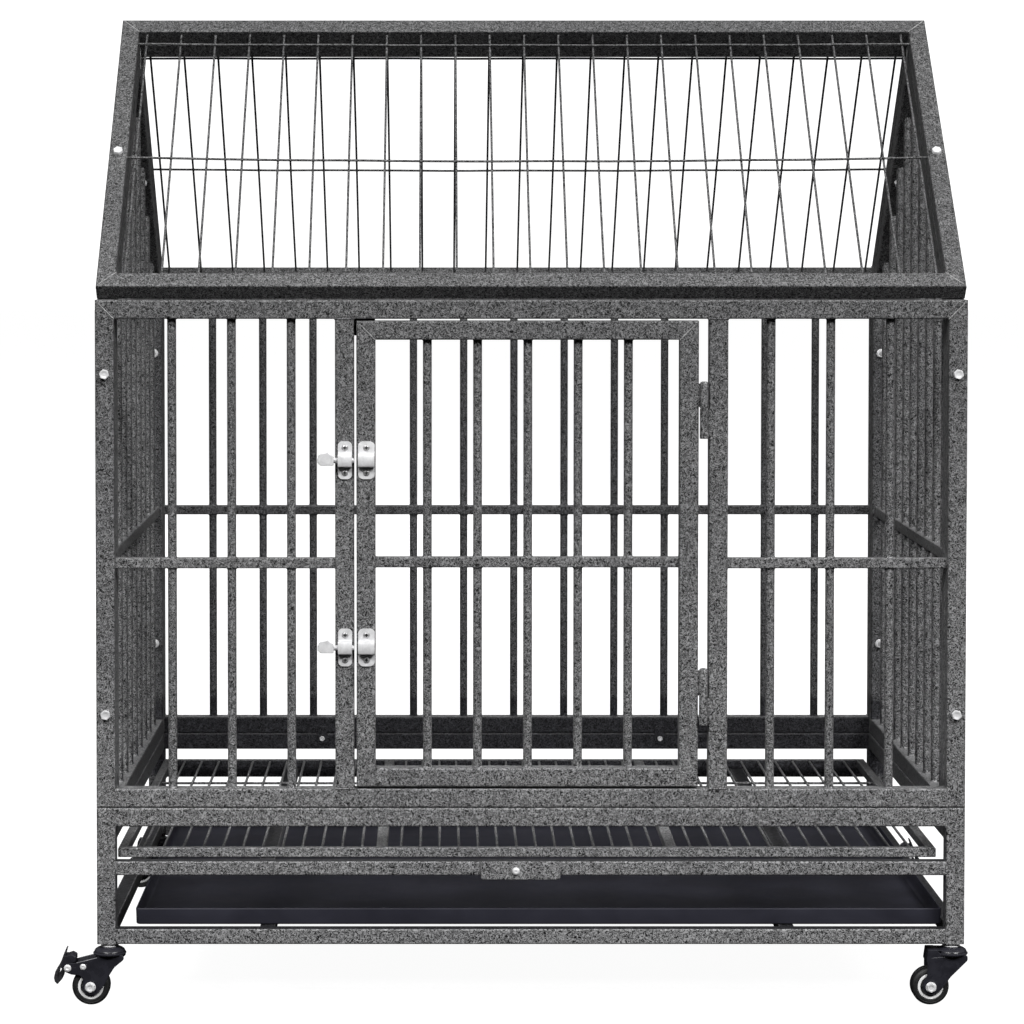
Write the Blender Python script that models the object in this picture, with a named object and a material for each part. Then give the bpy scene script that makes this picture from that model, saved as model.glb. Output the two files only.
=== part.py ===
# Steel dog cage on a castor stand: barred front, back and house-shaped side
# panels, two wire roof panels at 45 degrees, a hinged door with two slide
# bolts, a slide-out floor grid and tray, and four swivel castors, two braked.
# Units: metres. +X right seen from the front, +Y to the rear, +Z up.
# Origin: bottom centre of the whole object, on the floor.
import math

import bmesh
import bpy
from mathutils import Matrix, Vector

for o in list(bpy.data.objects):
    bpy.data.objects.remove(o, do_unlink=True)

MM = 0.001

# ---- driving dimensions, in millimetres -------------------------------------
WIDTH = 920.0            # outside width of every panel
DEPTH = 620.0            # outside depth, front face to back face
TUBE = 20.0              # main square tube
GAP = 0.3                # clearance between touching pieces
BAR_D = 9.5              # round bar
MID_T = 12.0             # middle rail, square
WIRE = 2.6               # roof wire
GRID_WIRE = 3.0          # floor grid wire
FRONT_Y = -306.8         # world Y of the front face
HALF = WIDTH / 2

STAND_Z = 65.4           # underside of the stand
LOW_RAIL_Z = 81.6        # top of the bottom rails
SHELF_Z0, SHELF_Z = 138.9, 153.9      # middle rails of the stand
STAND_TOP = 210.9        # top of the stand's front rail
DROP = 16.0              # the side and rear rails sit this much lower
PANEL_Z = STAND_TOP + GAP
PANEL_TOP = 749.0
FRONT_MID_Z = 470.4
SIDE_MID_Z = 474.0

DOOR_X0, DOOR_X1 = -184.5, 176.7
DOOR_Z0, DOOR_Z1 = 233.2, 727.0
JAMB_L0, JAMB_L1 = -207.0, -187.0
JAMB_R0, JAMB_R1 = 187.7, 207.7
HINGE_X, HINGE_Y = 182.2, -1.0        # door hinge axis, Y from the front face
HINGE_R, HINGE_PIN_R, HINGE_BORE_R = 4.6, 2.2, 2.6
HINGE_Z = ((602.8, 634.5, 663.0), (299.3, 328.9, 359.6))

LATCH_Z = (580.0, 381.8)
LATCH_TRAVEL = 17.5
KEEPER_X = (-204.0, -189.0)
CATCH_X = (-182.7, -165.0)
BOLT_Y = -4.6                         # latch bolt's axis, in front of the face

# The front roof panel runs up to the ridge and the rear one butts under it.
ROOF_LIP_Y = 9.5
ROOF_LIP_Z = PANEL_TOP + GAP + TUBE / math.sqrt(2)
ROOF_LEN = (DEPTH / 2 - ROOF_LIP_Y) * math.sqrt(2)
ROOF_LEN_BACK = ROOF_LEN - TUBE - GAP
ROOF_WIRES, ROOF_PITCH = 23, 39.2
WIRE_DEPTH = 5.9                      # from the roof's outer plane to the wires
ROOF_CROSS, ROOF_CROSS_BACK = (194.0, 386.2), (188.5, 368.5)
ROOF_BOLT = 205.0

BOLT_X = HALF - TUBE / 2
BOLT_HEIGHTS = (670.5, 309.9)

TRAY_X0, TRAY_X1, TRAY_Y0, TRAY_Y1 = -421.0, 439.0, 21.0, 590.0
TRAY_H, TRAY_WALL = 17.6, 1.5
GRID_X0, GRID_X1, GRID_Y0, GRID_Y1 = -439.5, 432.5, 21.0, 590.0
GRID_TUBE = 10.0
GRID_MEMBERS = (-158.5, 151.0)
GRID_LATERALS = (178.0, 310.0, 442.0)
SUPPORT_X = (-280.0, 273.0)           # front-to-back bars under tray and grid

STOP_X0, STOP_X1, STOP_Z0, STOP_Z1 = -53.2, 31.4, 134.8, 153.6
STOP_PIVOT = (-15.8, 144.0)

CASTOR_X, CASTOR_Y = 447.5, TUBE / 2
WHEEL_R, TRAIL, TRAIL_BRAKED = 20.0, 23.0, 19.5
STEM_R, RACE_R = 4.0, 17.6
BRAKE_U, BRAKE_Z = 43.6, 40.5         # pedal axis, from the stem and from the floor


# ---- materials --------------------------------------------------------------
def material(name, colour, rough, metal):
    m = bpy.data.materials.new(name)
    m.use_nodes = True
    b = m.node_tree.nodes["Principled BSDF"]
    b.inputs["Base Color"].default_value = (*colour, 1)
    b.inputs["Roughness"].default_value = rough
    b.inputs["Metallic"].default_value = metal
    return m


HAMMER = material("hammered_grey_paint", (0.11, 0.11, 0.112), 0.42, 0.55)
TRAY_PAINT = material("black_tray_paint", (0.016, 0.016, 0.024), 0.22, 0.0)
ZINC = material("zinc_plate", (0.72, 0.72, 0.73), 0.28, 1.0)
FORK_PAINT = material("black_fork_paint", (0.012, 0.012, 0.014), 0.35, 0.0)
RUBBER = material("black_rubber", (0.014, 0.014, 0.015), 0.7, 0.0)
RIM = material("light_grey_nylon", (0.62, 0.62, 0.63), 0.45, 0.0)
PEDAL = material("black_pedal_plastic", (0.02, 0.02, 0.022), 0.5, 0.0)


# ---- mesh helpers, all in millimetres, Y measured from the front face -------
def finish(name, bm, mat, smooth=None, matrix=None):
    """Turns a bmesh in millimetres into a named object in metres."""
    if matrix is not None:
        bm.transform(matrix)
    bm.transform(Matrix.Translation((0, FRONT_Y, 0)))
    bm.transform(Matrix.Scale(MM, 4))
    bmesh.ops.recalc_face_normals(bm, faces=bm.faces[:])
    mesh = bpy.data.meshes.new(name)
    bm.to_mesh(mesh)
    bm.free()
    mesh.materials.append(mat)
    obj = bpy.data.objects.new(name, mesh)
    bpy.context.scene.collection.objects.link(obj)
    if smooth:
        mesh.shade_smooth()
        mesh.set_sharp_from_angle(angle=math.radians(smooth))
    return obj


def blocks(boxes, bm=None):
    """One closed skin round the union of axis-aligned boxes (x0, x1, y0, y1, z0, z1)."""
    bm = bm or bmesh.new()
    axes = []
    for a in range(3):
        vals = sorted(v for b in boxes for v in (b[2 * a], b[2 * a + 1]))
        line = [vals[0]]
        for v in vals[1:]:
            if v - line[-1] > 1e-4:
                line.append(v)
        axes.append(line)
    nx, ny, nz = (len(a) - 1 for a in axes)
    full = set()
    for b in boxes:
        lo, hi = [], []
        for a in range(3):
            lo.append(min(range(len(axes[a])), key=lambda i: abs(axes[a][i] - b[2 * a])))
            hi.append(min(range(len(axes[a])), key=lambda i: abs(axes[a][i] - b[2 * a + 1])))
        for i in range(lo[0], hi[0]):
            for j in range(lo[1], hi[1]):
                for k in range(lo[2], hi[2]):
                    full.add((i, j, k))
    verts = {}

    def vert(i, j, k):
        if (i, j, k) not in verts:
            verts[i, j, k] = bm.verts.new((axes[0][i], axes[1][j], axes[2][k]))
        return verts[i, j, k]

    for i, j, k in sorted(full):
        sides = (
            ((-1, 0, 0), ((0, 0, 0), (0, 0, 1), (0, 1, 1), (0, 1, 0))),
            ((1, 0, 0), ((1, 0, 0), (1, 1, 0), (1, 1, 1), (1, 0, 1))),
            ((0, -1, 0), ((0, 0, 0), (1, 0, 0), (1, 0, 1), (0, 0, 1))),
            ((0, 1, 0), ((0, 1, 0), (0, 1, 1), (1, 1, 1), (1, 1, 0))),
            ((0, 0, -1), ((0, 0, 0), (0, 1, 0), (1, 1, 0), (1, 0, 0))),
            ((0, 0, 1), ((0, 0, 1), (1, 0, 1), (1, 1, 1), (0, 1, 1))),
        )
        for (di, dj, dk), quad in sides:
            if (i + di, j + dj, k + dk) not in full:
                bm.faces.new([vert(i + a, j + b, k + c) for a, b, c in quad])
    bmesh.ops.dissolve_limit(bm, angle_limit=math.radians(1), verts=bm.verts[:], edges=bm.edges[:])
    return bm


def box(bm, x0, x1, y0, y1, z0, z1):
    """A closed box added to bm as a solid of its own."""
    return prism(bm, [(x0, y0), (x1, y0), (x1, y1), (x0, y1)], z0, z1, 2)


def tube_between(bm, p0, p1, r, n=8, turn=0.5):
    """A closed n-sided cylinder from p0 to p1."""
    p0, p1 = Vector(p0), Vector(p1)
    w = (p1 - p0).normalized()
    u = Vector((0, 0, 1)).cross(w) if abs(w.z) < 0.9 else Vector((1, 0, 0))
    u.normalize()
    v = w.cross(u)
    rings = []
    for p in (p0, p1):
        rings.append([bm.verts.new(p + r * (math.cos(a) * u + math.sin(a) * v))
                      for a in (2 * math.pi * (i + turn) / n for i in range(n))])
    for i in range(n):
        j = (i + 1) % n
        bm.faces.new((rings[0][i], rings[0][j], rings[1][j], rings[1][i]))
    bm.faces.new(rings[0][::-1])
    bm.faces.new(rings[1])
    return bm


def prism(bm, points, a0, a1, axis):
    """A closed prism: the 2-D outline, extruded along axis 0 (x), 1 (y) or 2 (z)."""
    def at(p, a):
        q = list(p)
        q.insert(axis, a)
        return q
    lo = [bm.verts.new(at(p, a0)) for p in points]
    hi = [bm.verts.new(at(p, a1)) for p in points]
    n = len(points)
    for i in range(n):
        j = (i + 1) % n
        bm.faces.new((lo[i], lo[j], hi[j], hi[i]))
    bm.faces.new(lo[::-1])
    bm.faces.new(hi)
    return bm


def turned(bm, profile, centre, n, turn=0.5):
    """A closed ring or disc: (radius, y) profile turned about the Y axis through centre."""
    cx, cz = centre
    closed = all(r > 0 for r, _ in profile)
    rings = []
    for r, y in profile:
        rings.append([bm.verts.new((cx + r * math.cos(a), y, cz + r * math.sin(a)))
                      for a in (2 * math.pi * (i + turn) / n for i in range(n))])
    m = len(rings)
    for k in range(m if closed else m - 1):
        a, b = rings[k], rings[(k + 1) % m]
        for i in range(n):
            j = (i + 1) % n
            bm.faces.new((a[i], a[j], b[j], b[i]))
    return bm


def combine(base, others, operation="UNION"):
    """Boolean of a bmesh with other bmeshes, each other one of non-touching solids."""
    def temp(bm, name):
        bmesh.ops.recalc_face_normals(bm, faces=bm.faces[:])
        mesh = bpy.data.meshes.new(name)
        bm.to_mesh(mesh)
        bm.free()
        obj = bpy.data.objects.new(name, mesh)
        bpy.context.scene.collection.objects.link(obj)
        return obj
    target = temp(base, "work_base")
    tools = [temp(b, "work_tool") for b in others]
    for t in tools:
        mod = target.modifiers.new("join", "BOOLEAN")
        mod.operation = operation
        mod.solver = "EXACT"
        mod.object = t
    bpy.context.view_layer.update()
    graph = bpy.context.evaluated_depsgraph_get()
    mesh = bpy.data.meshes.new_from_object(target.evaluated_get(graph))
    out = bmesh.new()
    out.from_mesh(mesh)
    for o in [target, *tools]:
        data = o.data
        bpy.data.objects.remove(o, do_unlink=True)
        bpy.data.meshes.remove(data)
    bpy.data.meshes.remove(mesh)
    bmesh.ops.remove_doubles(out, verts=out.verts[:], dist=1e-4)
    bmesh.ops.dissolve_limit(out, angle_limit=math.radians(0.2), verts=out.verts[:], edges=out.edges[:])
    return out


def bars(xs, y, z0, z1):
    bm = bmesh.new()
    for x in xs:
        tube_between(bm, (x, y, z0), (x, y, z1), BAR_D / 2)
    return bm


def empty(name, place, parent=None):
    e = bpy.data.objects.new(name, None)
    e.empty_display_size = 0.03
    e.location = Vector(place) * MM + Vector((0, FRONT_Y * MM, 0))
    bpy.context.scene.collection.objects.link(e)
    if parent:
        e.parent = parent
        e.matrix_parent_inverse = Matrix.Translation(-parent.matrix_world.translation)
    bpy.context.view_layer.update()
    return e


def hang(obj, parent):
    obj.parent = parent
    obj.matrix_parent_inverse = parent.matrix_world.inverted()
    return obj


MID_Y = TUBE / 2                     # centre of the front panel's thickness
BACK_MID_Y = DEPTH - TUBE / 2
HOLE_R = 3.5

# ---- front panel: frame, door jambs, middle rails and six bars ---------------
bottom, top = PANEL_Z, PANEL_TOP
fb = blocks([
    (-HALF, -HALF + TUBE, 0, TUBE, bottom, top),
    (HALF - TUBE, HALF, 0, TUBE, bottom, top),
    (-HALF, HALF, 0, TUBE, top - TUBE, top),
    (-HALF, HALF, 0, TUBE, bottom, bottom + TUBE),
    (JAMB_L0, JAMB_L1, 0, TUBE, bottom, top),
    (JAMB_R0, JAMB_R1, 0, TUBE, bottom, top),
    (-HALF, JAMB_L0 + 1, MID_Y - MID_T / 2, MID_Y + MID_T / 2, FRONT_MID_Z - MID_T / 2, FRONT_MID_Z + MID_T / 2),
    (JAMB_R1 - 1, HALF, MID_Y - MID_T / 2, MID_Y + MID_T / 2, FRONT_MID_Z - MID_T / 2, FRONT_MID_Z + MID_T / 2),
    # door stop: a small corner plate behind the door, at the latch side
    (JAMB_L1 - 10, JAMB_L1, TUBE - 1, TUBE + 2.3, top - TUBE - 18, top - TUBE + 10),
    (JAMB_L1 - 10, JAMB_L1 + 22, TUBE + GAP, TUBE + 2.3, top - TUBE - 18, top - TUBE + 10),
])
side_bars = [253.5, 316.6, 379.7]
fbar = bars([-x for x in side_bars] + side_bars, MID_Y, bottom + TUBE - 4, top - TUBE + 4)
holes = bmesh.new()
for s in (-1, 1):
    for z in BOLT_HEIGHTS:
        tube_between(holes, (s * BOLT_X, -5, z), (s * BOLT_X, TUBE + 5, z), HOLE_R)
fb = combine(fb, [fbar])
fb = combine(fb, [holes], "DIFFERENCE")
finish("front_panel", fb, HAMMER, 40)

# ---- back panel: frame, middle rail and thirteen bars ------------------------
bottom = PANEL_Z - DROP
y0, y1 = DEPTH - TUBE, DEPTH
bb = blocks([
    (-HALF, -HALF + TUBE, y0, y1, bottom, top),
    (HALF - TUBE, HALF, y0, y1, bottom, top),
    (-HALF, HALF, y0, y1, top - TUBE, top),
    (-HALF, HALF, y0, y1, bottom, bottom + TUBE),
    (-HALF, HALF, BACK_MID_Y - MID_T / 2, BACK_MID_Y + MID_T / 2, SIDE_MID_Z - MID_T / 2, SIDE_MID_Z + MID_T / 2),
])
bbar = bars([-3.6 + 62.65 * i for i in range(-6, 7)], BACK_MID_Y, bottom + TUBE - 4, top - TUBE + 4)
holes = bmesh.new()
for s in (-1, 1):
    for z in BOLT_HEIGHTS:
        tube_between(holes, (s * BOLT_X, y0 - 5, z), (s * BOLT_X, y1 + 5, z), HOLE_R)
bb = combine(bb, [bbar])
bb = combine(bb, [holes], "DIFFERENCE")
finish("back_panel", bb, HAMMER, 40)

# ---- side panels: house-shaped frame, two rails and nine bars ----------------
ROOF_UNDER = ROOF_LIP_Z - ROOF_LIP_Y - (TUBE + GAP) * math.sqrt(2)   # z - y on the roof's inner plane
ya, yb, ym = TUBE + GAP, DEPTH - TUBE - GAP, DEPTH / 2
outer = [(ya, bottom), (yb, bottom), (yb, ROOF_UNDER + ya), (ym, ROOF_UNDER + ym), (ya, ROOF_UNDER + ya)]
inner_line = ROOF_UNDER - TUBE * math.sqrt(2)
inner = [(ya + TUBE, bottom + TUBE), (yb - TUBE, bottom + TUBE),
         (yb - TUBE, inner_line + ya + TUBE), (ym, inner_line + ym), (ya + TUBE, inner_line + ya + TUBE)]
SIDE_PITCH = 57.0
for name, sx in (("side_panel_left", -1), ("side_panel_right", 1)):
    x0, x1 = sorted((sx * HALF, sx * (HALF - TUBE)))
    xm = sx * BOLT_X
    bm = bmesh.new()
    loops = [[bm.verts.new((x, y, z)) for y, z in pts] for x in (x0, x1) for pts in (outer, inner)]
    lo_o, lo_i, hi_o, hi_i = loops
    for i in range(5):
        j = (i + 1) % 5
        bm.faces.new((lo_o[i], lo_o[j], lo_i[j], lo_i[i]))
        bm.faces.new((hi_o[i], hi_i[i], hi_i[j], hi_o[j]))
        bm.faces.new((lo_o[i], hi_o[i], hi_o[j], lo_o[j]))
        bm.faces.new((lo_i[i], lo_i[j], hi_i[j], hi_i[i]))
    rails = bmesh.new()
    for zc in (SIDE_MID_Z, PANEL_TOP - MID_T / 2 - 4):
        blocks([(xm - MID_T / 2, xm + MID_T / 2, ya + TUBE - 5, yb - TUBE + 5, zc - MID_T / 2, zc + MID_T / 2)], rails)
    posts = bmesh.new()
    for i in range(-4, 5):
        y = ym + SIDE_PITCH * i
        slope_top = inner_line + (y if y <= ym else DEPTH - y) + 6
        tube_between(posts, (xm, y, bottom + TUBE - 4), (xm, y, slope_top), BAR_D / 2)
    holes = bmesh.new()
    for z in BOLT_HEIGHTS:
        tube_between(holes, (xm, ya - 5, z), (xm, ya + TUBE + 5, z), HOLE_R)
        tube_between(holes, (xm, yb - TUBE - 5, z), (xm, yb + 5, z), HOLE_R)
    d = math.sqrt(0.5)
    for mirror in (False, True):
        foot = Vector((xm, ROOF_LIP_Y + ROOF_BOLT * d, ROOF_LIP_Z + ROOF_BOLT * d))
        n = Vector((0, -d, d))
        a, b = foot - n * (TUBE - 4), foot - n * (2 * TUBE + 6)
        if mirror:
            a.y, b.y = DEPTH - a.y, DEPTH - b.y
        tube_between(holes, a, b, HOLE_R)
    bm = combine(bm, [rails])
    bm = combine(bm, [posts])
    bm = combine(bm, [holes], "DIFFERENCE")
    finish(name, bm, HAMMER, 40)

# ---- roof panels: square-tube frame, 23 wires and two cross wires over them ---
# Built flat, x across, y down the slope from the lip, z out of the roof, then turned.
wires = [ROOF_PITCH * (i - (ROOF_WIRES - 1) / 2) for i in range(ROOF_WIRES)]
for name, mirror in (("roof_panel_front", False), ("roof_panel_back", True)):
    length = ROOF_LEN_BACK if mirror else ROOF_LEN
    flat = [
        (-HALF, -HALF + TUBE, 0, length, -TUBE, 0),
        (HALF - TUBE, HALF, 0, length, -TUBE, 0),
        (-HALF, HALF, 0, TUBE, -TUBE, 0),
        (-HALF, HALF, length - TUBE, length, -TUBE, 0),
    ]
    for x in wires:
        flat.append((x - WIRE / 2, x + WIRE / 2, TUBE - 2, length - TUBE + 2, -WIRE_DEPTH - WIRE, -WIRE_DEPTH))
    for y in (ROOF_CROSS_BACK if mirror else ROOF_CROSS):
        flat.append((-HALF + TUBE - 2, HALF - TUBE + 2, y, y + WIRE, -WIRE_DEPTH - 0.2, -WIRE_DEPTH - 0.2 + WIRE))
    bm = blocks(flat)
    holes = bmesh.new()
    for s in (-1, 1):
        tube_between(holes, (s * BOLT_X, ROOF_BOLT, -TUBE - 5), (s * BOLT_X, ROOF_BOLT, 5), HOLE_R)
    bm = combine(bm, [holes], "DIFFERENCE")
    tilt = Matrix.Translation((0, ROOF_LIP_Y, ROOF_LIP_Z)) @ Matrix.Rotation(math.radians(45), 4, "X")
    if mirror:
        tilt = Matrix.Translation((0, DEPTH, 0)) @ Matrix.Rotation(math.radians(180), 4, "Z") @ tilt
    finish(name, bm, HAMMER, 40, tilt)

# ---- panel bolts: hex head, shank and nut in one piece -----------------------
def hex_bolt(head_at, direction, length):
    """Head just proud of the face at head_at, shank along direction, nut on the far side."""
    w = Vector(direction).normalized()
    h = Vector(head_at)
    base = tube_between(bmesh.new(), h - w * (GAP + 4.0), h - w * GAP, 5.6, 6, 0)
    shank = tube_between(bmesh.new(), h - w * 1.0, h + w * (length + 3), 3.0, 8)
    nut = tube_between(bmesh.new(), h + w * (length + GAP), h + w * (length + 5.3), 5.6, 6, 0)
    return combine(combine(base, [shank]), [nut])


grip = 2 * TUBE + GAP
for end, y, dy in (("front", 0, 1), ("back", DEPTH, -1)):
    for side, sx in (("left", -1), ("right", 1)):
        for level, z in zip(("upper", "lower"), BOLT_HEIGHTS):
            finish(f"panel_bolt_{end}_{side}_{level}", hex_bolt((sx * BOLT_X, y, z), (0, dy, 0), grip), ZINC)
d = math.sqrt(0.5)
for end, sy in (("front", 1), ("back", -1)):
    for side, sx in (("left", -1), ("right", 1)):
        y = ROOF_LIP_Y + ROOF_BOLT * d
        head = (sx * BOLT_X, y if sy > 0 else DEPTH - y, ROOF_LIP_Z + ROOF_BOLT * d)
        finish(f"roof_bolt_{end}_{side}", hex_bolt(head, (0, sy * d, -d), grip), ZINC)

# ---- stand: posts, three levels of rails and the support bars ----------------
low = STAND_TOP - DROP
yr = DEPTH - TUBE
inner_x = HALF - TUBE
st = [
    (-HALF, -inner_x, 0, TUBE, STAND_Z, STAND_TOP), (inner_x, HALF, 0, TUBE, STAND_Z, STAND_TOP),
    (-HALF, -inner_x, yr, DEPTH, STAND_Z, low), (inner_x, HALF, yr, DEPTH, STAND_Z, low),
    (-HALF, HALF, 0, TUBE, STAND_TOP - TUBE, STAND_TOP),
    (-HALF, HALF, yr, DEPTH, low - TUBE, low),
    (-HALF, -inner_x, 0, DEPTH, low - TUBE, low), (inner_x, HALF, 0, DEPTH, low - TUBE, low),
]
for z0, z1 in ((STAND_Z, LOW_RAIL_Z), (SHELF_Z0, SHELF_Z)):
    t = z1 - z0
    st += [(-HALF, HALF, 0, t, z0, z1), (-HALF, HALF, DEPTH - t, DEPTH, z0, z1)]
    if z0 == STAND_Z:
        st += [(-HALF, -HALF + t, 0, DEPTH, z0, z1), (HALF - t, HALF, 0, DEPTH, z0, z1)]
    st += [(x - 8, x + 8, 0, DEPTH, z0 + 4, z1) for x in SUPPORT_X]
sb = blocks(st)
holes = bmesh.new()
for sx in (-1, 1):
    for y in (CASTOR_Y, DEPTH - CASTOR_Y):
        tube_between(holes, (sx * CASTOR_X, y, STAND_Z - 5), (sx * CASTOR_X, y, STAND_Z + 24), STEM_R + GAP, 10)
tube_between(holes, (STOP_PIVOT[0], -5, STOP_PIVOT[1]), (STOP_PIVOT[0], 12, STOP_PIVOT[1]), 2.6)
sb = combine(sb, [holes], "DIFFERENCE")
finish("stand_frame", sb, HAMMER, 40)

# ---- clips that tie the back panel to the stand ------------------------------
for side, x in (("left", -243.0), ("right", 179.0)):
    plate = blocks([(x - 6, x + 6, yr - GAP - 1.5, yr - GAP, low - 13, low + 9)])
    head = tube_between(bmesh.new(), (x, yr - GAP - 1, low - 6.5), (x, yr - GAP - 4.2, low - 6.5), 3.4, 6, 0)
    finish(f"rear_clip_{side}", combine(plate, [head]), HAMMER)

# ---- floor grid: slides out over the middle rails ----------------------------
gz0 = SHELF_Z + GAP
gz1 = gz0 + GRID_TUBE
wz = gz1 - 0.5
gy0, gy1 = GRID_Y0 + GRID_TUBE, GRID_Y1 - GRID_TUBE
grid = [
    (GRID_X0, GRID_X0 + GRID_TUBE, GRID_Y0, GRID_Y1, gz0, gz1),
    (GRID_X1 - GRID_TUBE, GRID_X1, GRID_Y0, GRID_Y1, gz0, gz1),
    (GRID_X0, GRID_X1, GRID_Y0, gy0, gz0, gz1), (GRID_X0, GRID_X1, gy1, GRID_Y1, gz0, gz1),
]
grid += [(x - 6, x + 6, GRID_Y0, GRID_Y1, gz0, gz1) for x in GRID_MEMBERS]
stations = [(GRID_X0 + GRID_TUBE / 2, GRID_MEMBERS[0], 13), (GRID_MEMBERS[0], GRID_MEMBERS[1], 15),
            (GRID_MEMBERS[1], GRID_X1 - GRID_TUBE / 2, 13)]
rods = bmesh.new()
for a, b, n in stations:
    for i in range(1, n):
        x = a + (b - a) * i / n
        box(rods, x - GRID_WIRE / 2, x + GRID_WIRE / 2, gy0 - 2, gy1 + 2, wz - GRID_WIRE, wz)
laterals = bmesh.new()
for y in GRID_LATERALS:
    box(laterals, GRID_X0 + 2, GRID_X1 - 2, y, y + GRID_WIRE, wz - 2 * GRID_WIRE + 0.5, wz - GRID_WIRE + 0.5)
slide_grid = empty("floor_grid_slide", (0, GRID_Y0, gz0))
hang(finish("floor_grid", combine(combine(blocks(grid), [laterals]), [rods]), HAMMER), slide_grid)

# ---- tray: a shallow folded pan that slides out below the grid ---------------
tz = LOW_RAIL_Z + GAP
w = TRAY_WALL
pan = blocks([
    (TRAY_X0, TRAY_X1, TRAY_Y0, TRAY_Y1, tz, tz + w),
    (TRAY_X0, TRAY_X0 + w, TRAY_Y0, TRAY_Y1, tz, tz + TRAY_H),
    (TRAY_X1 - w, TRAY_X1, TRAY_Y0, TRAY_Y1, tz, tz + TRAY_H),
    (TRAY_X0, TRAY_X1, TRAY_Y0, TRAY_Y0 + w, tz, tz + TRAY_H),
    (TRAY_X0, TRAY_X1, TRAY_Y1 - w, TRAY_Y1, tz, tz + TRAY_H),
])
slide_tray = empty("tray_slide", (0, TRAY_Y0, tz))
hang(finish("tray", pan, TRAY_PAINT), slide_tray)

# ---- stop plate: turns on its bolt to hold the grid and tray in --------------
px, pz = STOP_PIVOT
c = 3.0
outline = [(STOP_X0 + c, STOP_Z0), (STOP_X1 - c, STOP_Z0), (STOP_X1, STOP_Z0 + c), (STOP_X1, STOP_Z1 - c),
           (STOP_X1 - c, STOP_Z1), (STOP_X0 + c, STOP_Z1), (STOP_X0, STOP_Z1 - c), (STOP_X0, STOP_Z0 + c)]
plate = prism(bmesh.new(), outline, -GAP - 2.0, -GAP, 1)
hole = tube_between(bmesh.new(), (px, -8, pz), (px, 4, pz), 2.6)
pivot = empty("stop_plate_pivot", (px, 0, pz))
hang(finish("stop_plate", combine(plate, [hole], "DIFFERENCE"), HAMMER), pivot)
head = tube_between(bmesh.new(), (px, -2.6 - 3.0, pz), (px, -2.6, pz), 4.1, 12)
shank = tube_between(bmesh.new(), (px, -3.0, pz), (px, 11.5, pz), 2.2, 8)
finish("stop_plate_bolt", combine(head, [shank]), ZINC, 40)

# ---- door: frame, middle rail and five bars ----------------------------------
hinge = empty("door_hinge", (HINGE_X, HINGE_Y, DOOR_Z0))
db = blocks([
    (DOOR_X0, DOOR_X0 + TUBE, 0, TUBE, DOOR_Z0, DOOR_Z1),
    (DOOR_X1 - TUBE, DOOR_X1, 0, TUBE, DOOR_Z0, DOOR_Z1),
    (DOOR_X0, DOOR_X1, 0, TUBE, DOOR_Z0, DOOR_Z0 + TUBE),
    (DOOR_X0, DOOR_X1, 0, TUBE, DOOR_Z1 - TUBE, DOOR_Z1),
    (DOOR_X0, DOOR_X1, MID_Y - MID_T / 2, MID_Y + MID_T / 2, 471.4 - MID_T / 2, 471.4 + MID_T / 2),
])
dbar = bars([-3.4 + 53.1 * i for i in range(-2, 3)], MID_Y, DOOR_Z0 + TUBE - 4, DOOR_Z1 - TUBE + 4)
hang(finish("door", combine(db, [dbar]), HAMMER, 40), hinge)

# lift-off hinges: the door's sleeve sits on the frame's knuckle and its pin
for level, (z0, z1, z2) in zip(("upper", "lower"), HINGE_Z):
    body = tube_between(bmesh.new(), (HINGE_X, HINGE_Y, z1 + GAP), (HINGE_X, HINGE_Y, z2), HINGE_R, 12)
    lug = blocks([(DOOR_X1 + GAP, HINGE_X, 0, 3.2, z1 + GAP + 1.5, z2 - 1.5)])
    bore = tube_between(bmesh.new(), (HINGE_X, HINGE_Y, z1 - 3), (HINGE_X, HINGE_Y, z2 + 3), HINGE_BORE_R, 12)
    bm = combine(combine(body, [lug]), [bore], "DIFFERENCE")
    hang(finish(f"door_hinge_sleeve_{level}", bm, HAMMER, 40), hinge)
    body = tube_between(bmesh.new(), (HINGE_X, HINGE_Y, z0), (HINGE_X, HINGE_Y, z1), HINGE_R, 12)
    lug = blocks([(HINGE_X, JAMB_R0 - GAP, 0, 3.2, z0 + 1.5, z1 - 1.5)])
    pin = tube_between(bmesh.new(), (HINGE_X, HINGE_Y, z0 + 5), (HINGE_X, HINGE_Y, z2 - 1.0), HINGE_PIN_R, 12)
    bm = combine(combine(body, [lug]), [pin])
    finish(f"frame_hinge_pin_{level}", bm, HAMMER, 40)

# ---- door latches: slide bolts in strapped plates ----------------------------
def strap(x0, x1, z):
    """A bent plate: two flat feet and a raised strap the bolt runs under."""
    q = [(1.8, 20), (1.8, 6.2), (8.8, 6.2), (9.9, 5.1), (9.9, -5.1), (8.8, -6.2), (1.8, -6.2), (1.8, -20),
         (GAP, -20), (GAP, -4.7), (7.6, -4.7), (8.3, -4.0), (8.3, 4.0), (7.6, 4.7), (GAP, 4.7), (GAP, 20)]
    return prism(bmesh.new(), [(-y, z + h) for y, h in q], x0, x1, 0)


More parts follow.
